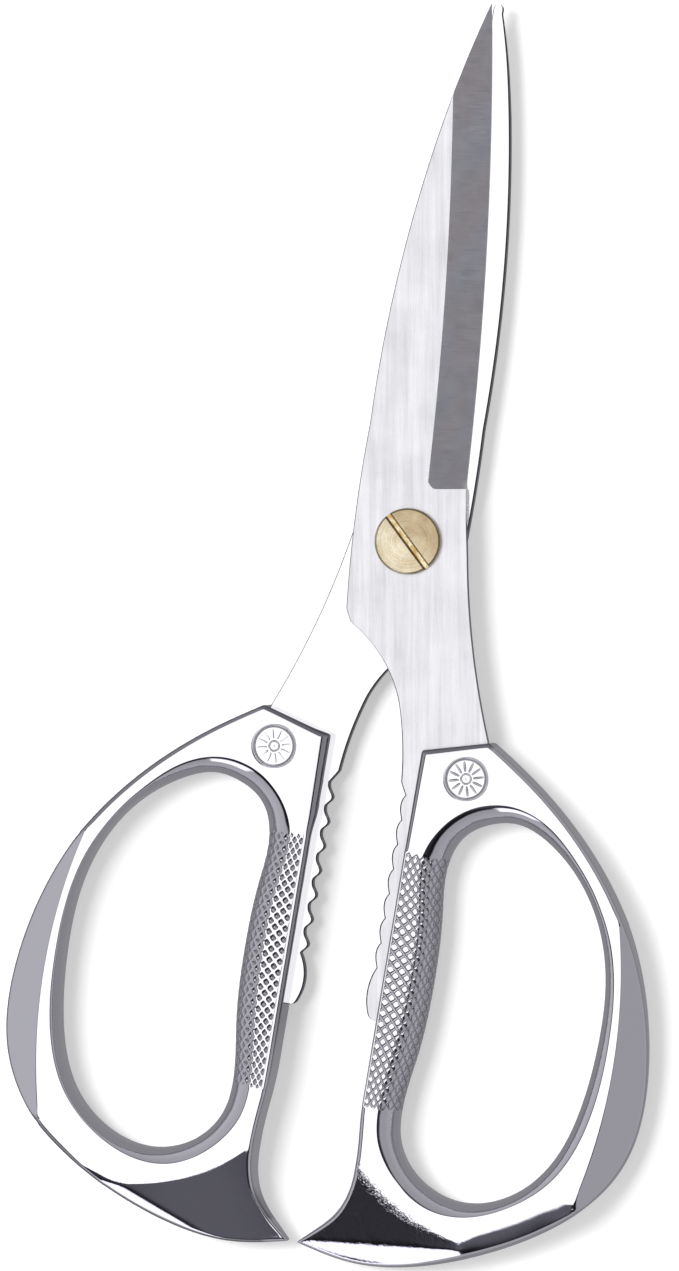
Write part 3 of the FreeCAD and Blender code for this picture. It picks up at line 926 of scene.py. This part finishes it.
def jaw_line(jaw):
    """The scalloped nutcracker jaw and the rounded end of the tang, downwards."""
    valley, crest = jaw["valley"], jaw["crest"]
    parts = [[(5.3, -39.0), (valley, FIRST_VALLEY_Y)]]
    share = np.linspace(0, 1, 24)
    bulge = np.sin(math.pi * share ** (math.log(0.5) / math.log(jaw["peak"]))) ** jaw["power"]
    for i in range(SCALLOPS):
        y = FIRST_VALLEY_Y - (i + share) * SCALLOP_PITCH
        parts.append(np.column_stack([valley + (crest - valley) * bulge, y]))
    last = (valley, FIRST_VALLEY_Y - SCALLOPS * SCALLOP_PITCH)
    lobe = (crest + 0.25, TANG_END_Y + 1.2)
    parts.append(arc(last, (crest - 0.35, TANG_END_Y + 4.4), lobe, 0.2))
    parts.append(arc(lobe, (crest + 0.75, TANG_END_Y + 0.35), (crest + 1.85, TANG_END_Y), 0.1))
    return parts


def blade_rows():
    """Heights along the blade at which its section is taken, from the tip down."""
    tip = TIP[1] - 12 * np.linspace(0.02, 1, 40) ** 1.5
    body = np.arange(TIP[1] - 12.7, BEVEL_END_Y + 0.6, -0.7)
    bevel_end = [BEVEL_END_Y + 0.05, BEVEL_END_Y]
    neck = np.arange(BEVEL_END_Y - 0.5, FIRST_VALLEY_Y + 0.3, -0.5)
    jaw_end = FIRST_VALLEY_Y - SCALLOPS * SCALLOP_PITCH
    jaw = np.linspace(FIRST_VALLEY_Y, jaw_end, SCALLOPS * 16 + 1)
    tang = np.linspace(jaw_end, TANG_END_Y, 40)[1:]
    return np.concatenate([tip, body, bevel_end, neck, jaw, tang])


FLAT_COLUMNS = 16
BEVEL_COLUMNS = 12
UNDER_COLUMNS = 12
TOP_COLUMNS = 2 + FLAT_COLUMNS + BEVEL_COLUMNS
EDGE_ROUND, JAW_ROUND = 0.14, 0.20
BREAKS = ((0.12, 12.5), (0.25, 19.0))  # width and tilt of the inner face's broken edges, right and left
TIP_ROUND = 0.85
TIP_ROUND_X = 0.15
BLUNT_LENGTH = 14.0  # how far down from the tip the rear blade is wider than the front one
LINE_GAP = 0.02  # least distance kept between two lines of the grid
SIDE_LEAST = 0.25  # least height of a blade's side
TANG_END_LIFT = 0.09  # of the underside, at the tang's very end
BEVEL_FROM_Y = BEVEL_END_Y + 0.02  # rows above this have the bevel


def blade_sides(y, spine, jaw, blunt):
    """The blade's left and right side at the given heights.

    blunt rounds the tip off, as on the rear blade."""
    left_line = joined(*spine, *NECK, *jaw_line(jaw))[::-1]
    right_line = joined(
        arc(*EDGE)[::-1], [EDGE[0], (9.8, -0.8)], arc((9.8, -0.8), (13.3, -16.0), (18.3, -30.3)),
        [(18.3, -30.3), (18.3, -36.0), (TANG_BACK_X, -44.0), (TANG_BACK_X, TANG_END_Y)],
    )[::-1]
    left, right = (np.interp(y, line[:, 1], line[:, 0]) for line in (left_line, right_line))
    if blunt:
        near_tip = y > TIP[1] - BLUNT_LENGTH
        above = np.clip(y - (TIP[1] - TIP_ROUND), 0, TIP_ROUND)
        bow = np.sqrt(TIP_ROUND**2 - above**2)
        left = np.where(near_tip, np.minimum(left, TIP_ROUND_X - bow), left)
        right = np.where(near_tip, np.maximum(right, TIP_ROUND_X + bow), right)
    return left, right


def top_row(y, left, right, crease, circle):
    """Points across the blade's top at one height: a rounded edge, the flat and the bevel."""
    centre, radius = circle
    turn = crease if y > 0 else np.interp(y, [-30, 0], [right - 3, crease])
    edge_round = np.interp(y, [FIRST_VALLEY_Y, -30], [JAW_ROUND, EDGE_ROUND])
    round_x = min(LINE_GAP + edge_round * smoothstep(turn - left), (right - left) / 6)
    turn = min(max(turn, left + round_x + LINE_GAP / 2), right - LINE_GAP)
    flat = np.linspace(left + round_x, turn, FLAT_COLUMNS + 1)
    bevel = np.linspace(turn, right, BEVEL_COLUMNS + 1)[1:]
    top_x = np.concatenate([[left], flat, bevel])
    top_y = y + end_line(top_x, y)
    top_z = np.full(len(top_x), BLADE_OUT)
    if y > BEVEL_FROM_Y:
        from_edge = radius - np.hypot(top_x - centre[0], top_y - centre[1])
        drop = BLADE_OUT - BLADE_IN - EDGE_LAND
        top_z = BLADE_OUT - drop * np.clip(1 - from_edge / BEVEL_WIDTH, 0, 1)
    top_z[0] = max(top_z[0] - round_x, BLADE_IN + SIDE_LEAST)
    return np.column_stack([top_x, top_y, top_z])


def blade_grid(spine, jaw, blunt):
    """Vertices of the blade's grid, (rows, columns, 3): top, right side, underside, left side."""
    heights = blade_rows()
    sides = blade_sides(heights, spine, jaw, blunt)
    centre, radius = circle = circle_of(*EDGE)
    creases = centre[0] + np.sqrt((radius - BEVEL_WIDTH) ** 2 - (heights - centre[1]) ** 2)
    rise_right, rise_left = (slope(tilt) for _, tilt in BREAKS)
    rows = []
    for y, left, right, crease in zip(heights, *sides, creases):
        top = top_row(y, left, right, crease, circle)
        break_right, break_left = (min(width, (right - left) / 4) for width, _ in BREAKS)
        under_x = np.linspace(right - break_right, left + break_left, UNDER_COLUMNS + 1)
        under_z = BLADE_IN + (TANG_END_LIFT if y == heights[-1] else 0)
        under_y = y + end_line(under_x, y)
        under = np.column_stack([under_x, under_y, np.full(len(under_x), under_z)])
        side_right = [[right, top[-1, 1], under_z + break_right * rise_right]]
        side_left = [[left, top[0, 1], z] for z in (under_z + break_left * rise_left, top[0, 2] * 0.5)]
        rows.append(np.vstack([top, side_right, under, side_left]))
    return np.array(rows)


def end_line(x, y):
    """How far a row bends up so that the bevel ends on a slanted line with a rounded corner."""
    slant = 0.17 * np.maximum(x - BEVEL_CORNER_X - 0.85, 0)
    corner = np.clip(1 - (x - BEVEL_CORNER_X) / 1.05, 0, 1)
    rise = 1.0 - np.sqrt(np.maximum(1 - corner**2, 0))
    left_fade = smoothstep((x - BEVEL_CORNER_X + 3) / 3)
    near = smoothstep(1 - abs(y - BEVEL_END_Y) / 4.5)
    return (slant + rise * left_fade) * near


def blade_piece(name, body, node, turned, spine, jaw):
    """A blade, with its materials given face by face."""
    grid = blade_grid(spine, jaw, blunt=turned)
    rows, columns = grid.shape[:2]
    faces = [list(f) for f in grid_faces(rows, columns, close_columns=True)]
    last = (rows - 1) * columns
    faces += [list(range(columns))[::-1], [last + j for j in range(columns)]]
    face, bevel, ground, sheared_painted_shade = range(4)
    zones = np.full((rows - 1, columns), ground)
    bevelled = grid[:-1, 0, 1] > BEVEL_FROM_Y
    zones[:, 1 : TOP_COLUMNS - 1] = face
    zones[bevelled, FLAT_COLUMNS + 1 : TOP_COLUMNS - 1] = bevel
    # The blanked sides are painted darker as shade.
    zones[:, TOP_COLUMNS - 1] = sheared_painted_shade
    zones[:, -2:] = sheared_painted_shade
    zones = np.concatenate([zones.ravel(), [sheared_painted_shade, sheared_painted_shade]])
    ground_faces = REAR_GROUND if turned else FRONT_GROUND
    add_piece(name, grid.reshape(-1, 3), faces, body, [node],
              [*ground_faces, POLISHED, SHEARED_PAINTED_SHADE], turned, zones, crease=12.0)


# ---- Round pieces -----------------------------------------------------------------------------
AXIS_R = 0.02  # a turned section stops just short of the axis
LOW_ROUND = 0.05  # of a disc's lower edge
SHANK_R = 3.0
HEAD_SPLIT = HEAD_LOW + 0.3  # where the head's halves start, inside its base
HEAD_ROUND = 0.35
HEAD_DOME = 0.12
SLOT_ROUND = 0.12
BOW_POINTS = 72
CAP_ROWS = 8


def lathe(profile, count):
    """Points and faces of a closed (radius, height) section turned about the pivot axis."""
    points = [on_circle(r, once_round(count), z) for r, z in profile]
    return np.vstack(points), grid_faces(len(profile), count, close_rows=True, close_columns=True)


def rounded_profile(outer, low, high, top_round):
    """Section of a disc with rounded outer edges."""
    a = np.linspace(0, math.pi / 2, 7)
    centre_r, low_r = outer - top_round, outer - LOW_ROUND
    bottom = np.column_stack([low_r + LOW_ROUND * np.sin(a), low + LOW_ROUND - LOW_ROUND * np.cos(a)])
    top = np.column_stack([centre_r + top_round * np.cos(a), high - top_round + top_round * np.sin(a)])
    over = [(r, high) for r in np.linspace(centre_r, AXIS_R, 14)[1:]]
    under = [(r, low) for r in np.linspace(AXIS_R, low_r, 8)[:-1]]
    return np.vstack([bottom, top, over, under])


def dome_fall(x, y):
    """How far the head's domed top lies below its middle."""
    return HEAD_DOME * (x**2 + y**2) / HEAD_R**2


def half_disc():
    """One side of the slotted head: the part of a disc beyond a chord, with its top edges rounded."""
    steps = np.linspace(0, math.pi / 2, 6)
    insets = [0.0, *(HEAD_ROUND * (1 - np.cos(steps)))]
    heights = [HEAD_SPLIT, *(HEAD_TOP - HEAD_ROUND + HEAD_ROUND * np.sin(steps))]
    loops = []
    for inset, z in zip(insets, heights):
        r, d = HEAD_R - inset, SLOT_WIDTH / 2 + min(inset, SLOT_ROUND)
        start = math.asin(d / r)
        bow = on_circle(r, np.linspace(start, math.pi - start, BOW_POINTS), z)
        chord = np.linspace(bow[-1], bow[0], BOW_POINTS // 2)[1:-1]
        loop = np.vstack([bow, chord])
        if loops:
            loop[:, 2] -= dome_fall(loop[:, 0], loop[:, 1])
        loops.append(loop)
    rings, around = len(loops), len(loops[0])
    points = np.vstack(loops)
    top_points, top_faces = cap_grid(loops[-1], len(points))
    faces = [list(f) for f in grid_faces(rings, around, close_columns=True)]
    bottom = list(range(around))[::-1]
    return np.vstack([points, top_points]), faces + [bottom] + top_faces


def cap_grid(loop, first):
    """Rows of quads that close a half disc's top between its bow and its chord.

    first is the number of the first new point; the loop's own points come just before it."""
    base = first - len(loop)
    bow, chord = loop[:BOW_POINTS], loop[BOW_POINTS:][::-1]
    straight = np.concatenate([bow[:1, 0], chord[:, 0], bow[-1:, 0]])
    chord_x = np.interp(np.linspace(0, 1, BOW_POINTS), np.linspace(0, 1, len(straight)), straight)
    top = bow[0, 2] + dome_fall(bow[0, 0], bow[0, 1])
    rows, faces = [], []
    for k in range(1, CAP_ROWS + 1):
        t = k / (CAP_ROWS + 1)
        x = bow[1:-1, 0] * (1 - t) + chord_x[1:-1] * t
        y = bow[1:-1, 1] * (1 - t) + chord[0, 1] * t
        rows.append(np.column_stack([x, y, top - dome_fall(x, y)]))
    inside = BOW_POINTS - 2
    end = base + BOW_POINTS - 1
    previous = list(range(base, end + 1))
    for k in range(CAP_ROWS):
        current = [base, *range(first + k * inside, first + (k + 1) * inside), end]
        for i in range(BOW_POINTS - 1):
            quad = [previous[i], previous[i + 1], current[i + 1], current[i]]
            faces.append(list(dict.fromkeys(quad)))
        previous = current
    faces.append(previous + list(range(end + 1, first)))
    return np.vstack(rows), faces


def turned_in_plane(points, degrees):
    c, s = math.cos(math.radians(degrees)), math.sin(math.radians(degrees))
    p = np.array(points, float)
    return np.column_stack([c * p[:, 0] - s * p[:, 1], s * p[:, 0] + c * p[:, 1], p[:, 2]])


def combine(*parts):
    """Several (points, faces, zone) solids as one set of points and faces, with each face's zone."""
    points, faces, zones, count = [], [], [], 0
    for p, f, zone in parts:
        points.append(p)
        faces += [[int(v) + count for v in face] for face in f]
        zones += [zone] * len(f)
        count += len(p)
    return np.vstack(points), faces, zones


def screw_piece():
    """Slotted brass screw: head in two halves on a base, shoulder and thread."""
    slot_floor = HEAD_TOP - SLOT_DEPTH
    base = lathe(rounded_profile(HEAD_R, HEAD_LOW, slot_floor, 0.02), 128)
    parts = [(*base, 1)]
    points, faces = half_disc()
    for side in (0, 180):
        parts.append((turned_in_plane(points, side), faces, 0))
    shank = lathe(rounded_profile(SHANK_R, -BLADE_IN, HEAD_LOW + 0.1, 0.02), 96)
    thread = lathe(thread_profile(), 96)
    parts += [(*shank, 0), (*thread, 0)]
    points, faces, zones = combine(*parts)
    points = turned_in_plane(points, SLOT_ANGLE)
    add_piece("pivot_screw_turned", points, faces, "rear_half", ["pivot_screw"],
              [BRASS, SLOT_BRASS], zones=zones, crease=50.0)


THREAD_R = 2.5
NUT_HIGH = -(BLADE_OUT + 0.65)
NUT_LOW = NUT_HIGH - 1.6
THREAD_PITCH = 0.5


def thread_profile():
    """The screw's end: a plain run through the rear blade, and rounded thread crests below."""
    end = NUT_LOW + 0.1
    outline = [(AXIS_R, end), (THREAD_R - 0.4, end), (THREAD_R - 0.15, end + 0.15)]
    for z in np.arange(end + 0.2, -BLADE_OUT, THREAD_PITCH):
        outline += [(THREAD_R - 0.25, z), (THREAD_R, z + 0.2), (THREAD_R, z + 0.3)]
    return outline + [(THREAD_R, -BLADE_IN + 0.1), (AXIS_R, -BLADE_IN + 0.1)]


WASHER_IN, WASHER_OUT = 2.6, 4.3
WASHER_ROUND = 0.12
SPLIT_ANGLE, SPLIT_HALF = 20, 6.6  # degrees: where the lock washer is split, and half its gap
NUT_R = 4.8
NUT_EDGE, BORE_EDGE = 0.3, 0.12  # width of the rounding at the rim and at the bore
NUT_SLOT, NUT_SLOT_DEPTH = 1.3, 0.8
NUT_ANGLE = -35


def washer_piece():
    """Split lock washer between the rear blade and the nut."""
    low, high = NUT_HIGH, -BLADE_OUT
    radius = np.array([WASHER_IN, WASHER_OUT - WASHER_ROUND, WASHER_OUT, WASHER_OUT,
                       WASHER_OUT - WASHER_ROUND, WASHER_IN])
    height = np.array([low, low, low + WASHER_ROUND, high - WASHER_ROUND, high, high])
    angles = np.radians(SPLIT_ANGLE + np.linspace(SPLIT_HALF, 360 - SPLIT_HALF, 121))
    points = np.vstack([on_circle(radius, angle, height) for angle in angles])
    count = len(radius)
    faces = [list(f)[::-1] for f in grid_faces(len(angles), count, close_columns=True)]
    last = (len(angles) - 1) * count
    faces += [list(range(count)), [last + j for j in range(count)][::-1]]
    add_piece("lock_washer_split", points, faces, "rear_half", ["pivot_lock_washer"],
              [WASHER], crease=50.0)


def nut_piece():
    """Round nut with a rounded rim and a slot on each side, bored for the screw's end."""
    angles = once_round(160)
    radii = np.concatenate([
        [THREAD_R, THREAD_R + BORE_EDGE], np.linspace(THREAD_R + 0.3, NUT_R - NUT_EDGE, 8),
        [NUT_R - 0.1, NUT_R],
    ])
    rows = []
    for r in radii:
        rim = max(0.0, r - (NUT_R - NUT_EDGE)) ** 2 * 2.2 + max(0.0, THREAD_R + BORE_EDGE - r) * 0.6
        sunk = smoothstep((NUT_SLOT / 2 + 0.1 - np.abs(r * np.sin(angles))) / 0.2)
        rows.append(on_circle(r, angles, NUT_LOW + rim + NUT_SLOT_DEPTH * sunk))
    rows += [on_circle(r, angles, NUT_HIGH) for r in (NUT_R, THREAD_R)]
    faces = grid_faces(len(rows), len(angles), close_rows=True, close_columns=True)[:, ::-1]
    points = turned_in_plane(np.vstack(rows), NUT_ANGLE)
    add_piece("pivot_nut_slotted", points, faces, "rear_half", ["pivot_nut"], [BRASS])


def hollow(distance, half_width):
    """1 along a groove's middle, falling smoothly to 0 at its edges."""
    return 0.5 + 0.5 * np.cos(math.pi * np.clip(np.abs(distance) / half_width, 0, 1))


def rosette_grooves(radius, angle):
    """The rivet's pattern: shares of the leaf-shaped grooves, of the outer ring and of the boss's."""
    across = ((angle * PETALS / (2 * math.pi)) % 1 - 0.5) * 2 * math.pi / PETALS * radius
    along_leaf = np.clip((radius - LEAF_FROM) / (LEAF_TO - LEAF_FROM), 0, 1)
    half = 0.05 + 0.20 * np.sin(math.pi * along_leaf**0.8) ** 0.6
    ends = smoothstep((radius - LEAF_FROM) / 0.15) * smoothstep((LEAF_TO - radius) / 0.15)
    return hollow(across, half) * ends, hollow(radius - RING_R, 0.22), hollow(radius - BOSS_R, 0.18)


def rosette_points(leaf_depth):
    """Grid of the rosette's front, rings outwards from the middle, and its groove marks."""
    angles = once_round(PETALS * 16)
    rows, groove = [], []
    for r in np.concatenate([[ROSETTE_HOLE], np.linspace(0.15, ROSETTE_R - 0.15, 44)]):
        leaf, ring, boss = rosette_grooves(np.full(len(angles), r), angles)
        z = ROSETTE_TOP - leaf_depth * leaf - RING_DEPTH * ring - BOSS_DEPTH * boss
        rows.append(on_circle(r, angles, z))
        # The groove marks make the plate rougher and darken it with painted shade.
        groove.append(np.clip(leaf * leaf_depth / 0.12 + ring + 0.5 * boss, 0, 1))
    # The rounded rim, the wall below it, and the back.
    rim = ((0.08, 0.02), (0.03, 0.06), (0.0, 0.14), (0.0, 1.0), (ROSETTE_R - ROSETTE_HOLE, 1.0))
    for inwards, down in rim:
        rows.append(on_circle(ROSETTE_R - inwards, angles, ROSETTE_TOP - down))
        groove.append(np.zeros(len(angles)))
    faces = grid_faces(len(rows), len(angles), close_rows=True, close_columns=True)
    return np.vstack(rows), faces, np.concatenate(groove)


def rosette_piece(name, body, node, side, face):
    """One rivet end. side is 1 on the right handle; face is 1 on the front."""
    points, faces, groove = rosette_points(LEAF_DEPTHS[side])
    if face < 0:
        points = points * (1, -1, -1)
    points = points + np.array((side * RIVET_AT[0], RIVET_AT[1], 0))
    add_piece(name, points, faces, body, [node], [CHROME], marks={"groove": groove})


def build():
    handle_piece("right_handle_casting", "front_half", "right_handle", False, RIGHT_FINISH)
    handle_piece("left_handle_casting", "rear_half", "left_handle", True, LEFT_FINISH)
    blade_piece("front_blade_ground", "front_half", "front_blade", False, FRONT_SPINE, FRONT_JAW)
    blade_piece("rear_blade_ground", "rear_half", "rear_blade", True, REAR_SPINE, REAR_JAW)
    rosette_piece("right_rivet_rosette", "front_half", "right_rivet_post", 1, 1)
    rosette_piece("right_rivet_back", "front_half", "right_rivet_cap", 1, -1)
    rosette_piece("left_rivet_rosette", "rear_half", "left_rivet_post", -1, 1)
    rosette_piece("left_rivet_back", "rear_half", "left_rivet_cap", -1, -1)
    screw_piece()
    washer_piece()
    nut_piece()


build()


# ---- Stage, lights and camera -----------------------------------------------------------------
IMAGE_TURN = 9.58  # degrees the shears lean clockwise in the picture
CAMERA_LEAN = 7.5  # degrees the camera leans to the picture's right
CAMERA_DISTANCE = 1.2
VIEW_HEIGHT = 207.5  # mm, at the level of the screw's head
VIEW_CENTRE = (-8.4, -17.0)  # the point about the pivot that the picture is centred on
LAMP_AT, LAMP_AIM = (-0.45, 0.08, 0.95), (0, -0.01, 0)  # metres
LAMP_SIZE = (0.35, 0.5)
LAMP_POWER = 10.6
FLOOR_SIZE = 3.0  # half its side
FLOOR_GLOW, FLOOR_REFLECTED = 0.36, 0.28
EVEN_LIGHT, BACKGROUND = 0.52, 0.97  # the world as it lights dull surfaces, and as the camera sees it
# Where the softbox overhead and the bright strip low in the south-west start and end, softly.
BOX_EAST = (-0.50, -0.42), (0.34, 0.42)
BOX_NORTH = (-0.42, -0.34), (0.40, 0.50)
STRIP_EAST = (-0.44, -0.38), (0.0, 0.06)
STRIP_UP = (0.40, 0.44), (0.66, 0.70)
BOX_TONE, STRIP_TONE = 1.38, 1.3


def stage():
    """A white table. The metal sees it darker than the camera does, as under a real light tent."""
    corners = [(x * FLOOR_SIZE, y * FLOOR_SIZE, 0) for x, y in ((-1, -1), (1, -1), (1, 1), (-1, 1))]
    floor = add_object("floor", make_mesh("floor", corners, [[0, 1, 2, 3]]))
    material, n = new_material("pale_floor")
    paper = n.add("ShaderNodeBsdfDiffuse", {"Color": (0.72, 0.72, 0.72, 1)}).outputs[0]
    glow = n.add("ShaderNodeEmission", {"Color": (1, 1, 1, 1), "Strength": FLOOR_GLOW}).outputs[0]
    lit = n.add("ShaderNodeAddShader", {0: paper, 1: glow}).outputs[0]
    inputs = {"Color": (0.98, 0.975, 1.03, 1), "Strength": FLOOR_REFLECTED}
    dim = n.add("ShaderNodeEmission", inputs).outputs[0]
    reflected = n.add("ShaderNodeLightPath").outputs["Is Glossy Ray"]
    seen = n.add("ShaderNodeMixShader", {0: reflected, 1: lit, 2: dim}).outputs[0]
    n.add("ShaderNodeOutputMaterial", {"Surface": seen})
    floor.data.materials.append(material)


def studio_world():
    """The studio as the metal sees it: a softbox overhead, dark cloth round it and grey walls."""
    world = bpy.data.worlds.new("studio")
    bpy.context.scene.world = world
    world.use_nodes = True
    n = Nodes(world.node_tree)
    direction = n.add("ShaderNodeTexCoord").outputs["Generated"]
    x, y, z = n.add("ShaderNodeSeparateXYZ", {0: direction}).outputs
    up = n.math("MAXIMUM", z, 0.001)
    east, north = n.math("DIVIDE", x, up), n.math("DIVIDE", y, up)
    box = n.math("MULTIPLY", n.within(east, *BOX_EAST), n.within(north, *BOX_NORTH))
    cloth = n.remap(east, -0.3, 0.0, 0.035, 0.12)
    cloth = n.math("MINIMUM", cloth, n.remap(east, 0.12, 0.32, 0.12, 0.03))
    cloth = n.math("MULTIPLY", cloth, n.remap(z, 0.74, 0.84, 0.25, 1.0, True))
    wall = n.remap(z, 0.18, 0.55, 0.43, 0.38, True)
    wall = n.math("ADD", wall, n.remap(x, -1.0, 0.2, 0.10, 0.0, True))
    south = n.remap(y, -0.30, -0.05, 1, 0, True)
    ring_low = n.remap(south, 0, 1, 0.75, 0.60)
    ring_high = n.math("ADD", ring_low, 0.07)
    ring = n.remap(z, ring_low, ring_high, smooth=True)
    seen = n.add("ShaderNodeMix", {0: ring, 2: wall, 3: cloth}, data_type="FLOAT").outputs[0]
    strip = n.math("MULTIPLY", n.within(x, *STRIP_EAST), n.within(z, *STRIP_UP))
    strip = n.math("MULTIPLY", strip, n.remap(y, -0.66, -0.58, 1, 0, True))
    seen = n.math("MAXIMUM", seen, n.math("MULTIPLY", strip, STRIP_TONE))
    seen = n.math("MAXIMUM", seen, n.math("MULTIPLY", box, BOX_TONE))
    path = n.add("ShaderNodeLightPath").outputs
    even = n.add("ShaderNodeBackground", {"Color": (1, 1, 1, 1), "Strength": EVEN_LIGHT}).outputs[0]
    back = n.add("ShaderNodeBackground", {"Color": (1, 1, 1, 1), "Strength": BACKGROUND}).outputs[0]
    tint = n.mix(ring, (0.98, 0.975, 1.04, 1), (0.96, 0.95, 1.14, 1))
    tint = n.mix(box, tint, (1, 1, 1, 1))
    mirror = n.add("ShaderNodeBackground", {"Color": tint, "Strength": seen}).outputs[0]
    first = n.add("ShaderNodeMixShader", {0: path["Is Glossy Ray"], 1: even, 2: mirror}).outputs[0]
    both = n.add("ShaderNodeMixShader", {0: path["Is Camera Ray"], 1: first, 2: back}).outputs[0]
    n.add("ShaderNodeOutputWorld", {"Surface": both})


def key_light():
    """A soft lamp on the left, which throws the shadow to the right."""
    light = bpy.data.lights.new("key", "AREA")
    light.shape = "RECTANGLE"
    light.size, light.size_y = LAMP_SIZE
    light.energy = LAMP_POWER
    lamp = add_object("key", light)
    lamp.location = LAMP_AT
    aim = Vector(LAMP_AIM) - lamp.location
    lamp.rotation_euler = aim.to_track_quat("-Z", "Y").to_euler()
    lamp.visible_glossy = False


def camera():
    turn = math.radians(IMAGE_TURN)
    right = Vector((math.cos(turn), math.sin(turn), 0))
    up = Vector((-math.sin(turn), math.cos(turn), 0))
    back = (Vector((0, 0, 1)) + right * slope(CAMERA_LEAN)).normalized()
    screen_right = up.cross(back)
    data = bpy.data.cameras.new("camera")
    data.lens = data.sensor_width * CAMERA_DISTANCE / (VIEW_HEIGHT * MM)
    data.clip_end = 20
    cam = add_object("camera", data)
    axes = Matrix((screen_right, up, back)).transposed().to_4x4()
    centre = PIVOT + Vector((*VIEW_CENTRE, HEAD_TOP)) * MM
    cam.matrix_world = Matrix.Translation(centre + back * CAMERA_DISTANCE) @ axes
    bpy.context.scene.camera = cam


stage()
studio_world()
key_light()
camera()
bpy.context.scene.view_settings.view_transform = "Standard"
